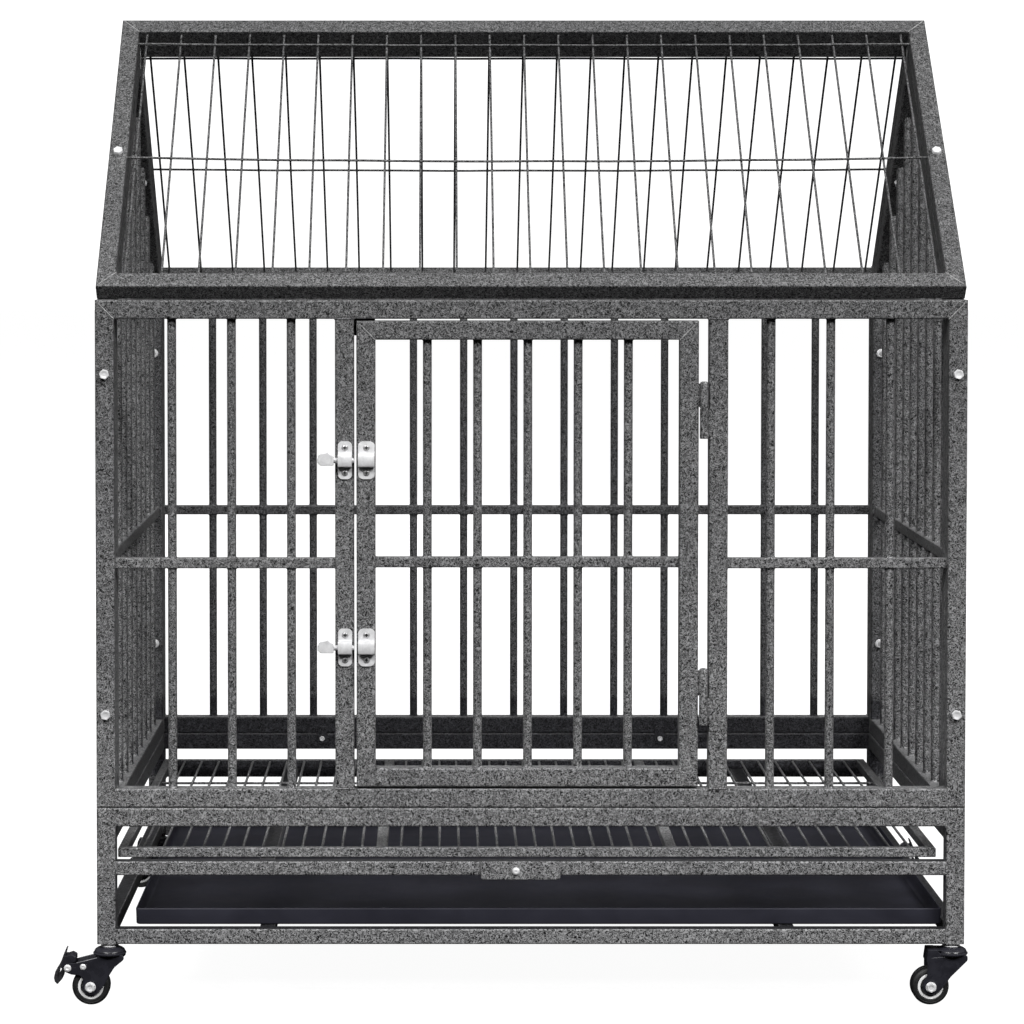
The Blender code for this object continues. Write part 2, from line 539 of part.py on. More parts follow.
for level, z in zip(("upper", "lower"), LATCH_Z):
    finish(f"latch_keeper_{level}", strap(*KEEPER_X, z), ZINC)
    hang(finish(f"latch_catch_{level}", strap(*CATCH_X, z), ZINC), hinge)
    slide = empty(f"latch_slide_{level}", (KEEPER_X[0], BOLT_Y, z))
    # rod, a neck beside the keeper, and a thumb tab that passes in front of its strap
    rod = tube_between(bmesh.new(), (-224.0, BOLT_Y, z), (-186.4, BOLT_Y, z), 2.9, 12)
    neck = bmesh.new()
    box(neck, -225.3, -222.2, BOLT_Y - 7.0, BOLT_Y + 1.0, z - 2.4, z + 2.4)
    tab = prism(bmesh.new(), [(-225.6, z - 1), (-222.5, z - 4.8), (-208.0, z - 4.8), (-208.0, z + 7.6), (-220, z + 10),
                              (-225.0, z + 6)], BOLT_Y - 8.0, BOLT_Y - 5.7, 1)
    hang(finish(f"latch_bolt_{level}", combine(combine(rod, [neck]), [tab]), ZINC, 40), slide)

# ---- castors -----------------------------------------------------------------
def castor(tag, sx, sy_front, trail_sign, braked):
    cx = sx * CASTOR_X
    cy = CASTOR_Y if sy_front else DEPTH - CASTOR_Y
    t = trail_sign
    top = STAND_Z - GAP
    # threaded stem and fixed cap, in the post
    base = tube_between(bmesh.new(), (cx, cy, top - 3.2), (cx, cy, top), 12.5, 16)
    stem = tube_between(bmesh.new(), (cx, cy, top - 12.0), (cx, cy, top + 22), STEM_R, 12)
    finish(f"castor_{tag}_stem", combine(base, [stem]), ZINC, 40)
    swivel = empty(f"castor_{tag}_swivel", (cx, cy, STAND_Z))
    # fork: stepped round race and two cheeks
    trail = TRAIL_BRAKED if braked else TRAIL
    head_z1 = top - 3.2 - GAP
    head_z0 = head_z1 - 9.0
    head = tube_between(bmesh.new(), (cx, cy, head_z0), (cx, cy, head_z0 + 5.2), RACE_R, 20)
    crown = tube_between(bmesh.new(), (cx, cy, head_z0 + 4.0), (cx, cy, head_z1), 13.4, 20)
    ax, az = cx + t * trail, WHEEL_R
    cheeks = bmesh.new()
    if braked:
        shape = [(-15.6, 55.5), (-16.4, 50.0), (-5.9, 41.3), (-0.1, 31.9), (5.0, 21.5), (12.0, 12.8), (19.5, 10.2), (26.0, 13.2),
                 (27.6, 20.0), (27.4, 29.0), (31.0, 32.4), (39.7, 33.3), (46.4, 36.2), (48.4, 40.6), (46.2, 45.0), (34.5, 46.2),
                 (15.0, 51.2), (9.0, 55.5)]
    else:
        shape = [(-15.8, 55.5), (-16.2, 49.0), (2.5, 30.5), (9.5, 20.0), (15.0, 14.6), (22.5, 12.6), (29.0, 15.2), (31.8, 20.0),
                 (31.0, 25.5), (27.2, 32.0), (27.2, 45.5), (28.2, 47.0), (26.2, 60.0), (17.0, 60.0), (12.0, 55.5)]
    pts = [(cx + t * u, v) for u, v in shape]
    if t < 0:
        pts = pts[::-1]
    for y0 in (cy - 12.5, cy + 10.5):
        prism(cheeks, pts, y0, y0 + 2.0, 1)
    # the tyre's clearance in the head, and the stem's bore
    room = tube_between(bmesh.new(), (ax, cy - 9.4, az), (ax, cy + 9.4, az), WHEEL_R + 1.3, 28)
    bore = tube_between(bmesh.new(), (cx, cy, head_z0 - 5), (cx, cy, head_z1 + 5), STEM_R + GAP, 12)
    pins = tube_between(bmesh.new(), (ax, cy - 20, az), (ax, cy + 20, az), 3.0 + GAP, 12)
    bm = combine(combine(head, [crown]), [cheeks])
    # bridge plate that joins the cheeks behind the race
    web = bmesh.new()
    if braked:
        slab = [(14.0, 50.9), (34.3, 45.9), (34.0, 44.3), (14.0, 49.2)]
    else:
        slab = [(10.0, 59.8), (26.0, 59.8), (27.8, 47.4), (26.4, 47.4), (24.8, 58.0), (10.0, 58.0)]
    pts = [(cx + t * u, v) for u, v in slab]
    prism(web, pts if t > 0 else pts[::-1], cy - 11.5, cy + 11.5, 1)
    bm = combine(bm, [web])
    if braked:
        rivet = tube_between(bmesh.new(), (cx + t * 27.2, cy - 13.6, 41.8), (cx + t * 27.2, cy + 13.6, 41.8), 2.2, 10)
        bm = combine(bm, [rivet])
        pins2 = tube_between(bmesh.new(), (cx + t * BRAKE_U, cy - 20, BRAKE_Z), (cx + t * BRAKE_U, cy + 20, BRAKE_Z), 2.6 + GAP, 12)
        bm = combine(bm, [pins2], "DIFFERENCE")
    bm = combine(bm, [room], "DIFFERENCE")
    bm = combine(bm, [bore], "DIFFERENCE")
    bm = combine(bm, [pins], "DIFFERENCE")
    hang(finish(f"castor_{tag}_fork", bm, FORK_PAINT, 40), swivel)
    # axle bolt, in the cheeks
    axle = tube_between(bmesh.new(), (ax, cy - 14.0, az), (ax, cy + 14.0, az), 3.0, 12)
    for y0, y1 in ((-16.2, -12.8), (12.8, 16.2)):
        axle = combine(axle, [tube_between(bmesh.new(), (ax, cy + y0, az), (ax, cy + y1, az), 5.2, 6, 0)])
    hang(finish(f"castor_{tag}_axle", axle, ZINC, 40), swivel)
    spin = empty(f"castor_{tag}_spin", (ax, cy, az), swivel)
    n = 28
    rim = turned(bmesh.new(), [(3.3, cy - 10), (6.5, cy - 10), (7.5, cy - 7.5), (12.0, cy - 7.5), (13.6, cy - 8.6),
                               (13.6, cy + 8.6), (12.0, cy + 7.5), (7.5, cy + 7.5), (6.5, cy + 10), (3.3, cy + 10)], (ax, az), n)
    hang(finish(f"castor_{tag}_wheel", rim, RIM, 40), spin)
    tyre_r = WHEEL_R / math.cos(math.pi / n)
    tyre = turned(bmesh.new(), [(13.9, cy - 8.8), (17.8, cy - 8.8), (tyre_r, cy - 6.4), (tyre_r, cy + 6.4),
                                (17.8, cy + 8.8), (13.9, cy + 8.8)], (ax, az), n)
    hang(finish(f"castor_{tag}_tyre", tyre, RUBBER, 40), spin)
    if braked:
        bx, bz = cx + t * BRAKE_U, BRAKE_Z
        rock = empty(f"castor_{tag}_brake", (bx, cy, bz), swivel)
        lever = [(1.0, 19.5), (3.0, 20.2), (5.5, 12.0), (9.0, 2.5), (13.6, -5.5), (14.2, -13.0), (10.9, -18.2), (6.0, -14.5),
                 (4.2, -8.5), (4.5, -3.6), (-1.5, -3.8), (-3.8, -1.0), (-4.4, 4.4), (-8.4, 6.2), (-8.4, 11.5), (-4.0, 14.0),
                 (-0.4, 12.5)]
        pts = [(bx + t * u, bz + v) for u, v in lever]
        if t < 0:
            pts = pts[::-1]
        bm = prism(bmesh.new(), pts, cy - 10.2, cy + 10.2, 1)
        pin = tube_between(bmesh.new(), (bx, cy - 14.2, bz), (bx, cy + 14.2, bz), 2.6, 10)
        bm = combine(bm, [pin])
        hang(finish(f"castor_{tag}_pedal", bm, PEDAL, 40), rock)


castor("front_left", -1, True, -1, True)
castor("front_right", 1, True, -1, False)
castor("rear_left", -1, False, -1, False)
castor("rear_right", 1, False, 1, True)
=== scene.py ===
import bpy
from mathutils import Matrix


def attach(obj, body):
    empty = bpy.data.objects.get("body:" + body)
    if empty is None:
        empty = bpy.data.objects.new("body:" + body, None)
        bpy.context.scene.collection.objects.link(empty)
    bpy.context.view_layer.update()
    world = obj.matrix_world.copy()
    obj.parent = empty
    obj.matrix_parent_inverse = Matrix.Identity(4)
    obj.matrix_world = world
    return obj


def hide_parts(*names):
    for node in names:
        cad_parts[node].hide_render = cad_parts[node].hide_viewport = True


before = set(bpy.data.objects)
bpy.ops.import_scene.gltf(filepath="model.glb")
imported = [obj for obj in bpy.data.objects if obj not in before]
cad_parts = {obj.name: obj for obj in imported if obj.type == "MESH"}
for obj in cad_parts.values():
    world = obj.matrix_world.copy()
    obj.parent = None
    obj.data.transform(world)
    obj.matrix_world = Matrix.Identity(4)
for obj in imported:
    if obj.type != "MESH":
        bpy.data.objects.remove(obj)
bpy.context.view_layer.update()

# Visual model of a steel dog cage on a castor stand, built round the packed
# solids. Lengths below are millimetres, with Y measured from the front face.
import math

import bmesh
import bpy
from mathutils import Matrix, Vector, noise

MM = 0.001
FRONT_Y = -306.8
WIDTH, DEPTH, TUBE, GAP = 920.0, 620.0, 20.0, 0.3
HALF = WIDTH / 2
BAR_D, MID_T, WIRE, GRID_WIRE = 9.5, 12.0, 2.6, 3.0
STAND_Z, LOW_RAIL_Z, SHELF_Z0, SHELF_Z, STAND_TOP, DROP = 65.4, 81.6, 138.9, 153.9, 210.9, 16.0
PANEL_Z, PANEL_TOP = STAND_TOP + GAP, 749.0
FRONT_MID_Z, SIDE_MID_Z = 470.4, 474.0
DOOR_X0, DOOR_X1, DOOR_Z0, DOOR_Z1 = -184.5, 176.7, 233.2, 727.0
JAMB_L0, JAMB_L1, JAMB_R0, JAMB_R1 = -207.0, -187.0, 187.7, 207.7
HINGE_X, HINGE_Y, HINGE_R = 182.2, -1.0, 4.6
HINGE_Z = ((602.8, 634.5, 663.0), (299.3, 328.9, 359.6))
LATCH_Z = (580.0, 381.8)
KEEPER_X, CATCH_X, BOLT_Y = (-204.0, -189.0), (-182.7, -165.0), -4.6
ROOF_LIP_Y = 9.5
ROOF_LIP_Z = PANEL_TOP + GAP + TUBE / math.sqrt(2)
ROOF_LEN = (DEPTH / 2 - ROOF_LIP_Y) * math.sqrt(2)
ROOF_LEN_BACK = ROOF_LEN - TUBE - GAP
ROOF_WIRES, ROOF_PITCH, WIRE_DEPTH, ROOF_BOLT = 23, 39.2, 5.9, 205.0
ROOF_CROSS, ROOF_CROSS_BACK = (194.0, 386.2), (188.5, 368.5)
SIDE_PITCH = 57.0
BOLT_X = HALF - TUBE / 2
BOLT_HEIGHTS = (670.5, 309.9)
TRAY_X0, TRAY_X1, TRAY_Y0, TRAY_Y1, TRAY_H = -421.0, 439.0, 21.0, 590.0, 17.6
GRID_X0, GRID_X1, GRID_Y0, GRID_Y1, GRID_TUBE = -439.5, 432.5, 21.0, 590.0, 10.0
GRID_MEMBERS = (-158.5, 151.0)
GRID_LATERALS = (178.0, 310.0, 442.0)
SUPPORT_X = (-280.0, 273.0)
STOP_X0, STOP_X1, STOP_Z0, STOP_Z1 = -53.2, 31.4, 134.8, 153.6
STOP_PIVOT = (-15.8, 144.0)
CASTOR_X, CASTOR_Y = 447.5, TUBE / 2
WHEEL_R, TRAIL, TRAIL_BRAKED = 20.0, 23.0, 19.5
BRAKE_U, BRAKE_Z = 43.6, 40.5


# ---- materials --------------------------------------------------------------
class Nodes:
    """A short way to build a node tree."""

    def __init__(self, name):
        self.mat = bpy.data.materials.new(name)
        self.mat.use_nodes = True
        self.tree = self.mat.node_tree
        self.bsdf = self.tree.nodes["Principled BSDF"]
        self.coord = self.add("ShaderNodeTexCoord").outputs["Object"]

    def add(self, kind, **values):
        n = self.tree.nodes.new(kind)
        for k, v in values.items():
            setattr(n, k, v)
        return n

    def link(self, a, b):
        self.tree.links.new(a, b)

    def noise(self, scale, detail=2.0, rough=0.5, distortion=0.0, stretch=None, source=None):
        src = source or self.coord
        if stretch:
            m = self.add("ShaderNodeMapping")
            m.inputs["Scale"].default_value = stretch
            self.link(src, m.inputs["Vector"])
            src = m.outputs["Vector"]
        n = self.add("ShaderNodeTexNoise")
        n.inputs["Scale"].default_value = scale
        n.inputs["Detail"].default_value = detail
        n.inputs["Roughness"].default_value = rough
        n.inputs["Distortion"].default_value = distortion
        self.link(src, n.inputs["Vector"])
        return n.outputs["Fac"]

    def ramp(self, src, stops, interp="LINEAR"):
        r = self.add("ShaderNodeValToRGB")
        r.color_ramp.interpolation = interp
        e = r.color_ramp.elements
        while len(e) < len(stops):
            e.new(0.5)
        for el, (p, c) in zip(e, stops):
            el.position = p
            el.color = (*c, 1) if len(c) == 3 else c
        self.link(src, r.inputs["Fac"])
        return r.outputs["Color"]

    def span(self, src, lo, hi, a=0.0, b=1.0):
        m = self.add("ShaderNodeMapRange")
        m.inputs["From Min"].default_value = a
        m.inputs["From Max"].default_value = b
        m.inputs["To Min"].default_value = lo
        m.inputs["To Max"].default_value = hi
        self.link(src, m.inputs["Value"])
        return m.outputs["Result"]

    def mix(self, fac, a, b, blend="MIX"):
        m = self.add("ShaderNodeMix", data_type="RGBA", blend_type=blend)
        for sock, v in ((m.inputs[0], fac), (m.inputs[6], a), (m.inputs[7], b)):
            if hasattr(v, "links"):
                self.link(v, sock)
            else:
                sock.default_value = v if isinstance(v, float) else (*v, 1)
        return m.outputs[2]

    def bump(self, height, strength, distance):
        b = self.add("ShaderNodeBump")
        b.inputs["Strength"].default_value = strength
        b.inputs["Distance"].default_value = distance
        self.link(height, b.inputs["Height"])
        self.link(b.outputs["Normal"], self.bsdf.inputs["Normal"])

    def feed(self, name, src):
        self.link(src, self.bsdf.inputs[name])

    def set(self, **values):
        for k, v in values.items():
            self.bsdf.inputs[k.replace("_", " ")].default_value = v


def grey(v):
    return (v, v, v * 1.01)


def hammered(name, dark=0.008, light=0.52, scale=300.0):
    """Hammer-finish paint: a maze of pale squiggles round dark cells a few millimetres wide, with shade painted into
    the colour by height, depth and face direction.
    """
    n = Nodes(name)
    maze = n.noise(scale, 0.6, 0.5, 0.9)
    fine = n.noise(scale * 1.7, 0.0, 0.5, 0.6)
    broad = n.noise(7.0, 2.0, 0.5)
    colour = n.ramp(maze, [
        (0.27, grey(light * 0.55)), (0.345, grey(dark * 1.6)), (0.42, grey(dark)), (0.465, grey(light * 0.9)), (0.50, grey(light)),
        (0.53, grey(light * 0.85)), (0.575, grey(dark)), (0.65, grey(dark * 1.6)), (0.72, grey(light * 0.8))])
    colour = n.mix(0.25, colour, n.ramp(fine, [(0.43, grey(dark)), (0.54, grey(light))]))
    tone = n.ramp(broad, [(0.3, (0.9, 0.9, 0.91)), (0.7, (1.08, 1.08, 1.08))])
    colour = n.mix(1.0, colour, tone, "MULTIPLY")
    # painted shade: the colour is made lighter towards the floor, darker towards the roof and a little darker towards
    # the back, standing in for how the lamps fall on it
    split = n.add("ShaderNodeSeparateXYZ")
    n.link(n.coord, split.inputs["Vector"])
    height = n.ramp(n.span(split.outputs["Z"], 0.0, 1.0, 0.0, 1.1),
                    [(z / 1.1, (v, v, v)) for z, v in ((0.10, 0.86), (0.17, 0.84), (0.24, 0.77), (0.72, 0.52), (0.78, 0.45), (1.06, 0.41))])
    depth_shade = n.ramp(n.span(split.outputs["Y"], 0.0, 1.0, -0.32, 0.32), [(0.1, (1.0, 1.0, 1.0)), (0.9, (0.86, 0.86, 0.86))])
    colour = n.mix(1.0, n.mix(1.0, colour, height, "MULTIPLY"), depth_shade, "MULTIPLY")
    # painted shade: the rear rails and bars are darker on the side that faces into the cage, most of all on the low
    # rails
    normal = n.add("ShaderNodeSeparateXYZ")
    n.link(n.add("ShaderNodeNewGeometry").outputs["Normal"], normal.inputs["Vector"])
    low = n.ramp(n.span(split.outputs["Z"], 0.0, 1.0, 0.14, 0.25), [(0.0, (0.0, 0.0, 0.0)), (0.05, (1.0, 1.0, 1.0)), (0.88, (1.0, 1.0, 1.0)), (0.94, (0.0, 0.0, 0.0))])
    rear = n.ramp(n.span(split.outputs["Y"], 0.0, 1.0, 0.25, 0.31), [(0.05, (0.0, 0.0, 0.0)), (0.4, (1.0, 1.0, 1.0))])
    inner = n.ramp(n.span(normal.outputs["Y"], 1.0, 0.0, -1.0, 0.0), [(0.3, (0.0, 0.0, 0.0)), (0.6, (1.0, 1.0, 1.0))])
    rear_shade_mask = n.mix(1.0, n.mix(1.0, low, rear, "MULTIPLY"), inner, "MULTIPLY")
    colour = n.mix(1.0, colour, n.ramp(rear_shade_mask, [(0.0, (1.0, 1.0, 1.0)), (1.0, (0.34, 0.34, 0.37))]), "MULTIPLY")
    # milder painted shade on the same faces everywhere below the roof
    below = n.ramp(n.span(split.outputs["Z"], 0.0, 1.0, 0.68, 0.72), [(0.0, (1.0, 1.0, 1.0)), (1.0, (0.0, 0.0, 0.0))])
    rear_shade_mask = n.mix(1.0, n.mix(1.0, below, rear, "MULTIPLY"), inner, "MULTIPLY")
    colour = n.mix(1.0, colour, n.ramp(rear_shade_mask, [(0.0, (1.0, 1.0, 1.0)), (1.0, (0.56, 0.56, 0.57))]), "MULTIPLY")
    # painted shade too on the side panels' faces that look into the cage, deepest low down
    facing = n.add("ShaderNodeMath", operation="MULTIPLY")
    n.link(split.outputs["X"], facing.inputs[0])
    n.link(normal.outputs["X"], facing.inputs[1])
    inward = n.ramp(n.span(facing.outputs["Value"], 1.0, 0.0, -0.42, -0.1), [(0.3, (0.0, 0.0, 0.0)), (0.8, (1.0, 1.0, 1.0))])
    shade = n.ramp(n.span(split.outputs["Z"], 0.0, 1.0, 0.2, 0.28), [(0.45, (0.42, 0.42, 0.43)), (0.6, (0.84, 0.84, 0.84))])
    colour = n.mix(1.0, colour, n.mix(inward, (1.0, 1.0, 1.0), shade), "MULTIPLY")
    # and painted shade on the upward faces of the stand's rails, below the floor grid's top
    under = n.ramp(n.span(split.outputs["Z"], 1.0, 0.0, 0.155, 0.160), [(0.2, (0.0, 0.0, 0.0)), (0.8, (1.0, 1.0, 1.0))])
    up = n.ramp(n.span(normal.outputs["Z"], 0.0, 1.0, 0.8, 1.0), [(0.4, (0.0, 0.0, 0.0)), (0.8, (1.0, 1.0, 1.0))])
    n.feed("Base Color", n.mix(1.0, colour, n.ramp(n.mix(1.0, under, up, "MULTIPLY"), [(0.0, (1.0, 1.0, 1.0)), (1.0, (0.14, 0.14, 0.15))]), "MULTIPLY"))
    n.feed("Roughness", n.span(maze, 0.32, 0.46, 0.3, 0.7))
    n.set(Metallic=0.1)
    n.bsdf.inputs["Specular IOR Level"].default_value = 0.4
    n.bump(maze, 0.22, 0.0006)
    return n.mat


def plated(name, value=0.8, rough=(0.24, 0.4), scale=160.0, metal=0.3):
    n = Nodes(name)
    cloud = n.noise(scale, 3.0, 0.55, 0.6)
    n.feed("Base Color", n.ramp(cloud, [(0.3, grey(value * 0.86)), (0.7, grey(value * 1.08))]))
    n.feed("Roughness", n.span(cloud, rough[0], rough[1], 0.3, 0.7))
    n.set(Metallic=metal)
    n.bump(n.noise(scale * 6, 2.0), 0.06, 0.0003)
    return n.mat


def coated(name, colour, rough, spread=0.25, scale=60.0, metal=0.0, bump=0.04):
    """Plain coat with a slight cloudiness in colour and gloss."""
    n = Nodes(name)
    cloud = n.noise(scale, 3.0, 0.55, 0.4)
    lo = tuple(c * (1 - spread) for c in colour)
    hi = tuple(c * (1 + spread) for c in colour)
    n.feed("Base Color", n.ramp(cloud, [(0.32, lo), (0.68, hi)]))
    n.feed("Roughness", n.span(cloud, rough[0], rough[1], 0.3, 0.7))
    n.set(Metallic=metal)
    n.bump(n.noise(scale * 7, 2.0), bump, 0.0004)
    return n.mat


HAMMER = hammered("hammered grey paint with painted shade")
SCAR = coated("weld bead under paint", (0.34, 0.34, 0.34), (0.35, 0.5), 0.4, 500.0, 0.2, 0.2)
ZINC = plated("zinc plate", 0.8, (0.28, 0.42), 160.0, 0.15)
SCREW = plated("screw steel", 0.5, (0.28, 0.42), 160.0, 0.5)
TRAYCOAT = coated("black tray coat", (0.027, 0.027, 0.037), (0.3, 0.42), 0.2, 14.0, 0.0, 0.02)
TRAYCOAT.node_tree.nodes["Principled BSDF"].inputs["Specular IOR Level"].default_value = 0.22
FORK = coated("black fork coat", (0.021, 0.021, 0.027), (0.2, 0.34), 0.25, 90.0, 0.0, 0.05)
RUBBER = coated("tyre rubber", (0.012, 0.012, 0.0125), (0.45, 0.62), 0.3, 220.0, 0.0, 0.15)
RIM = coated("rim nylon", (0.93, 0.93, 0.93), (0.32, 0.45), 0.05, 120.0, 0.0, 0.03)
HUB = coated("hub plastic", (0.05, 0.05, 0.052), (0.3, 0.42), 0.2, 150.0, 0.0, 0.05)
BLACK = coated("black stop plate and painted slot shade", (0.006, 0.006, 0.006), (0.45, 0.6), 0.3, 150.0, 0.0, 0.05)
PEDAL = coated("pedal steel", (0.075, 0.075, 0.082), (0.22, 0.34), 0.3, 160.0, 0.6, 0.08)
EDGE_HIGHLIGHT = coated("fork edge with painted highlight", (0.34, 0.34, 0.36), (0.25, 0.4), 0.4, 220.0, 0.5, 0.1)


# ---- mesh helpers ------------------------------------------------------------
class Piece:
    """Gathers closed shells, each with its own material, into one object."""

    def __init__(self, name):
        self.name, self.bm, self.mats, self.now = name, bmesh.new(), [], 0

    def use(self, mat):
        if mat not in self.mats:
            self.mats.append(mat)
        self.now = self.mats.index(mat)
        return self

    def face(self, verts):
        f = self.bm.faces.new(verts)
        f.material_index = self.now
        f.smooth = True
        return f

    def loft(self, rings, caps=True, closed=False, flat=None):
        """Shell through rings of points, each ring a list of equal length; flat tells which strips are plane."""
        rows = [[self.bm.verts.new(p) for p in ring] for ring in rings]
        n = len(rows[0])
        m = len(rows)
        for k in range(m if closed else m - 1):
            a, b = rows[k], rows[(k + 1) % m]
            for i in range(n):
                j = (i + 1) % n
                f = self.face((a[i], a[j], b[j], b[i]))
                if flat and flat(i):
                    f.smooth = False
        if caps and not closed:
            self.face(rows[0][::-1])
            self.face(rows[-1])
        return rows

    def rod(self, p0, p1, r, n=16, turn=0.5, chamfer=0.0):
        p0, p1 = Vector(p0), Vector(p1)
        w = (p1 - p0).normalized()
        u, v = frame_of(w)
        stops = [(p0, r), (p1, r)]
        if chamfer:
            stops = [(p0, r - chamfer), (p0 + w * chamfer, r), (p1 - w * chamfer, r), (p1, r - chamfer)]
        self.loft([[p + s * (math.cos(a) * u + math.sin(a) * v)
                    for a in (2 * math.pi * (i + turn) / n for i in range(n))] for p, s in stops])
        return self

    def lathe(self, centre, axis, profile, n=32, closed=False, turn=0.0):
        """Turns (radius, distance along axis) pairs round the axis."""
        c, w = Vector(centre), Vector(axis).normalized()
        u, v = frame_of(w)
        self.loft([[c + w * h + r * (math.cos(a) * u + math.sin(a) * v)
                    for a in (2 * math.pi * (i + turn) / n for i in range(n))] for r, h in profile],
                  caps=not closed, closed=closed)
        return self

    def square(self, p0, p1, up, w, h, r=1.7, cut0=None, cut1=None, seg=3):
        """Tube of rounded rectangular section from p0 to p1, h along up, w across; cuts are plane normals."""
        p0, p1, up = Vector(p0), Vector(p1), Vector(up).normalized()
        axis = (p1 - p0).normalized()
        side = axis.cross(up).normalized()
        outline = []
        for cx, cy, a0 in ((w / 2 - r, h / 2 - r, 0), (-(w / 2 - r), h / 2 - r, 90),
                           (-(w / 2 - r), -(h / 2 - r), 180), (w / 2 - r, -(h / 2 - r), 270)):
            for k in range(seg + 1):
                a = math.radians(a0 + 90 * k / seg)
                outline.append(side * (cx + r * math.cos(a)) + up * (cy + r * math.sin(a)))
        rings = []
        for p, cut in ((p0, cut0), (p1, cut1)):
            n = Vector(cut).normalized() if cut is not None else axis
            rings.append([p + q - axis * (q.dot(n) / axis.dot(n)) for q in outline])
        self.loft(rings, flat=lambda i: i % (seg + 1) == seg)
        return self

    def plate(self, outline, lo, hi, axis, edge=0.4):
        """Plate with a chamfered rim: 2-D outline between lo and hi along axis 0, 1 or 2."""
        def at(p, a):
            q = list(p)
            q.insert(axis, a)
            return Vector(q)
        c = sum((Vector(p) for p in outline), Vector((0, 0))) / len(outline)
        small = inset(outline, edge)
        self.loft([[at(p, lo) for p in small], [at(p, lo + edge) for p in outline],
                   [at(p, hi - edge) for p in outline], [at(p, hi) for p in small]])
        return self

    def sweep(self, path, r, n=10):
        """Round wire along a list of points."""
        pts = [Vector(p) for p in path]
        w0 = (pts[1] - pts[0]).normalized()
        u, v = frame_of(w0)
        rings = []
        for i, p in enumerate(pts):
            w = (pts[min(i + 1, len(pts) - 1)] - pts[max(i - 1, 0)]).normalized()
            u = (u - w * u.dot(w)).normalized()
            v = w.cross(u)
            rings.append([p + r * (math.cos(a) * u + math.sin(a) * v)
                          for a in (2 * math.pi * (k + 0.5) / n for k in range(n))])
        self.loft(rings)
        return self

    def bead(self, p0, p1, r=0.8, lump=0.35, seed=0.0):
        """Weld bead: a lumpy ridge from p0 to p1, half sunk in the tube."""
        p0, p1 = Vector(p0), Vector(p1)
        length = (p1 - p0).length
        steps = max(4, int(length / 1.3))
        w = (p1 - p0).normalized()
        u, v = frame_of(w)
        rings = []
        for i in range(steps + 1):
            t = i / steps
            p = p0.lerp(p1, t)
            k = 1 + lump * noise.noise(Vector((p.x * 0.6 + seed, p.y * 0.6, p.z * 0.6)))
            k *= 0.35 + 0.65 * math.sin(math.pi * min(1, max(0, 0.08 + 0.84 * t))) ** 0.5
            rings.append([p + r * k * (math.cos(a) * u + math.sin(a) * v)
                          for a in (2 * math.pi * (j + 0.5) / 8 for j in range(8))])
        self.loft(rings)
        return self

    def collar(self, at, axis, r, size=1.4, n=18, seed=0.0):
        """Small fillet weld round a bar where it meets a rail; axis points along the bar away from the rail."""
        at, w = Vector(at), Vector(axis).normalized()
        u, v = frame_of(w)
        rings = []
        for dr, dh in ((-1.0, -0.6), (size, -0.6), (size * 0.45, size * 0.35), (0.0, size), (-1.0, size * 0.9)):
            ring = []
            for i in range(n):
                a = 2 * math.pi * i / n
                d = math.cos(a) * u + math.sin(a) * v
                q = at + d * r
                k = 1 + 0.5 * noise.noise(Vector((q.x * 0.5 + seed, q.y * 0.5, q.z * 0.5)))
                ring.append(at + d * (r + dr * (k if dr > 0 else 1)) + w * (dh * (k if dh > 0 else 1)))
            rings.append(ring)
        self.loft(rings, caps=False, closed=True)
        return self

    def done(self, body, slot, *nodes, matrix=None, sharp=38.0):
        bm = self.bm
        if matrix is not None:
            bm.transform(matrix)
        bm.transform(Matrix.Translation((0, FRONT_Y, 0)))
        bm.transform(Matrix.Scale(MM, 4))
        bmesh.ops.recalc_face_normals(bm, faces=bm.faces[:])
        mesh = bpy.data.meshes.new(self.name)
        smooth = [f.smooth for f in bm.faces]
        bm.to_mesh(mesh)
        bm.free()
        for m in self.mats:
            mesh.materials.append(m)
        mesh.set_sharp_from_angle(angle=math.radians(sharp))
        mesh.polygons.foreach_set("use_smooth", smooth)
        obj = bpy.data.objects.new(self.name, mesh)
        bpy.context.scene.collection.objects.link(obj)
        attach(obj, body)
        if nodes:
            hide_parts(*nodes)
        return obj


def frame_of(w):
    u = Vector((0, 0, 1)).cross(w) if abs(w.z) < 0.9 else Vector((1, 0, 0)).cross(w)
    u.normalize()
    return u, w.cross(u)


def inset(outline, d):
    """Moves each point of a closed outline inward by d."""
    n = len(outline)
    area = sum(outline[i][0] * outline[(i + 1) % n][1] - outline[(i + 1) % n][0] * outline[i][1] for i in range(n))
    s = 1 if area > 0 else -1
    out = []
    for i in range(n):
        a, b, c = (Vector(outline[k % n]) for k in (i - 1, i, i + 1))
        e, f = (b - a).normalized(), (c - b).normalized()
        ne, nf = Vector((-e.y, e.x)) * s, Vector((-f.y, f.x)) * s
        m = ne + nf
        m = m / max(0.35, m.length_squared) * 2
        out.append((b.x + m.x * d, b.y + m.y * d))
    return out


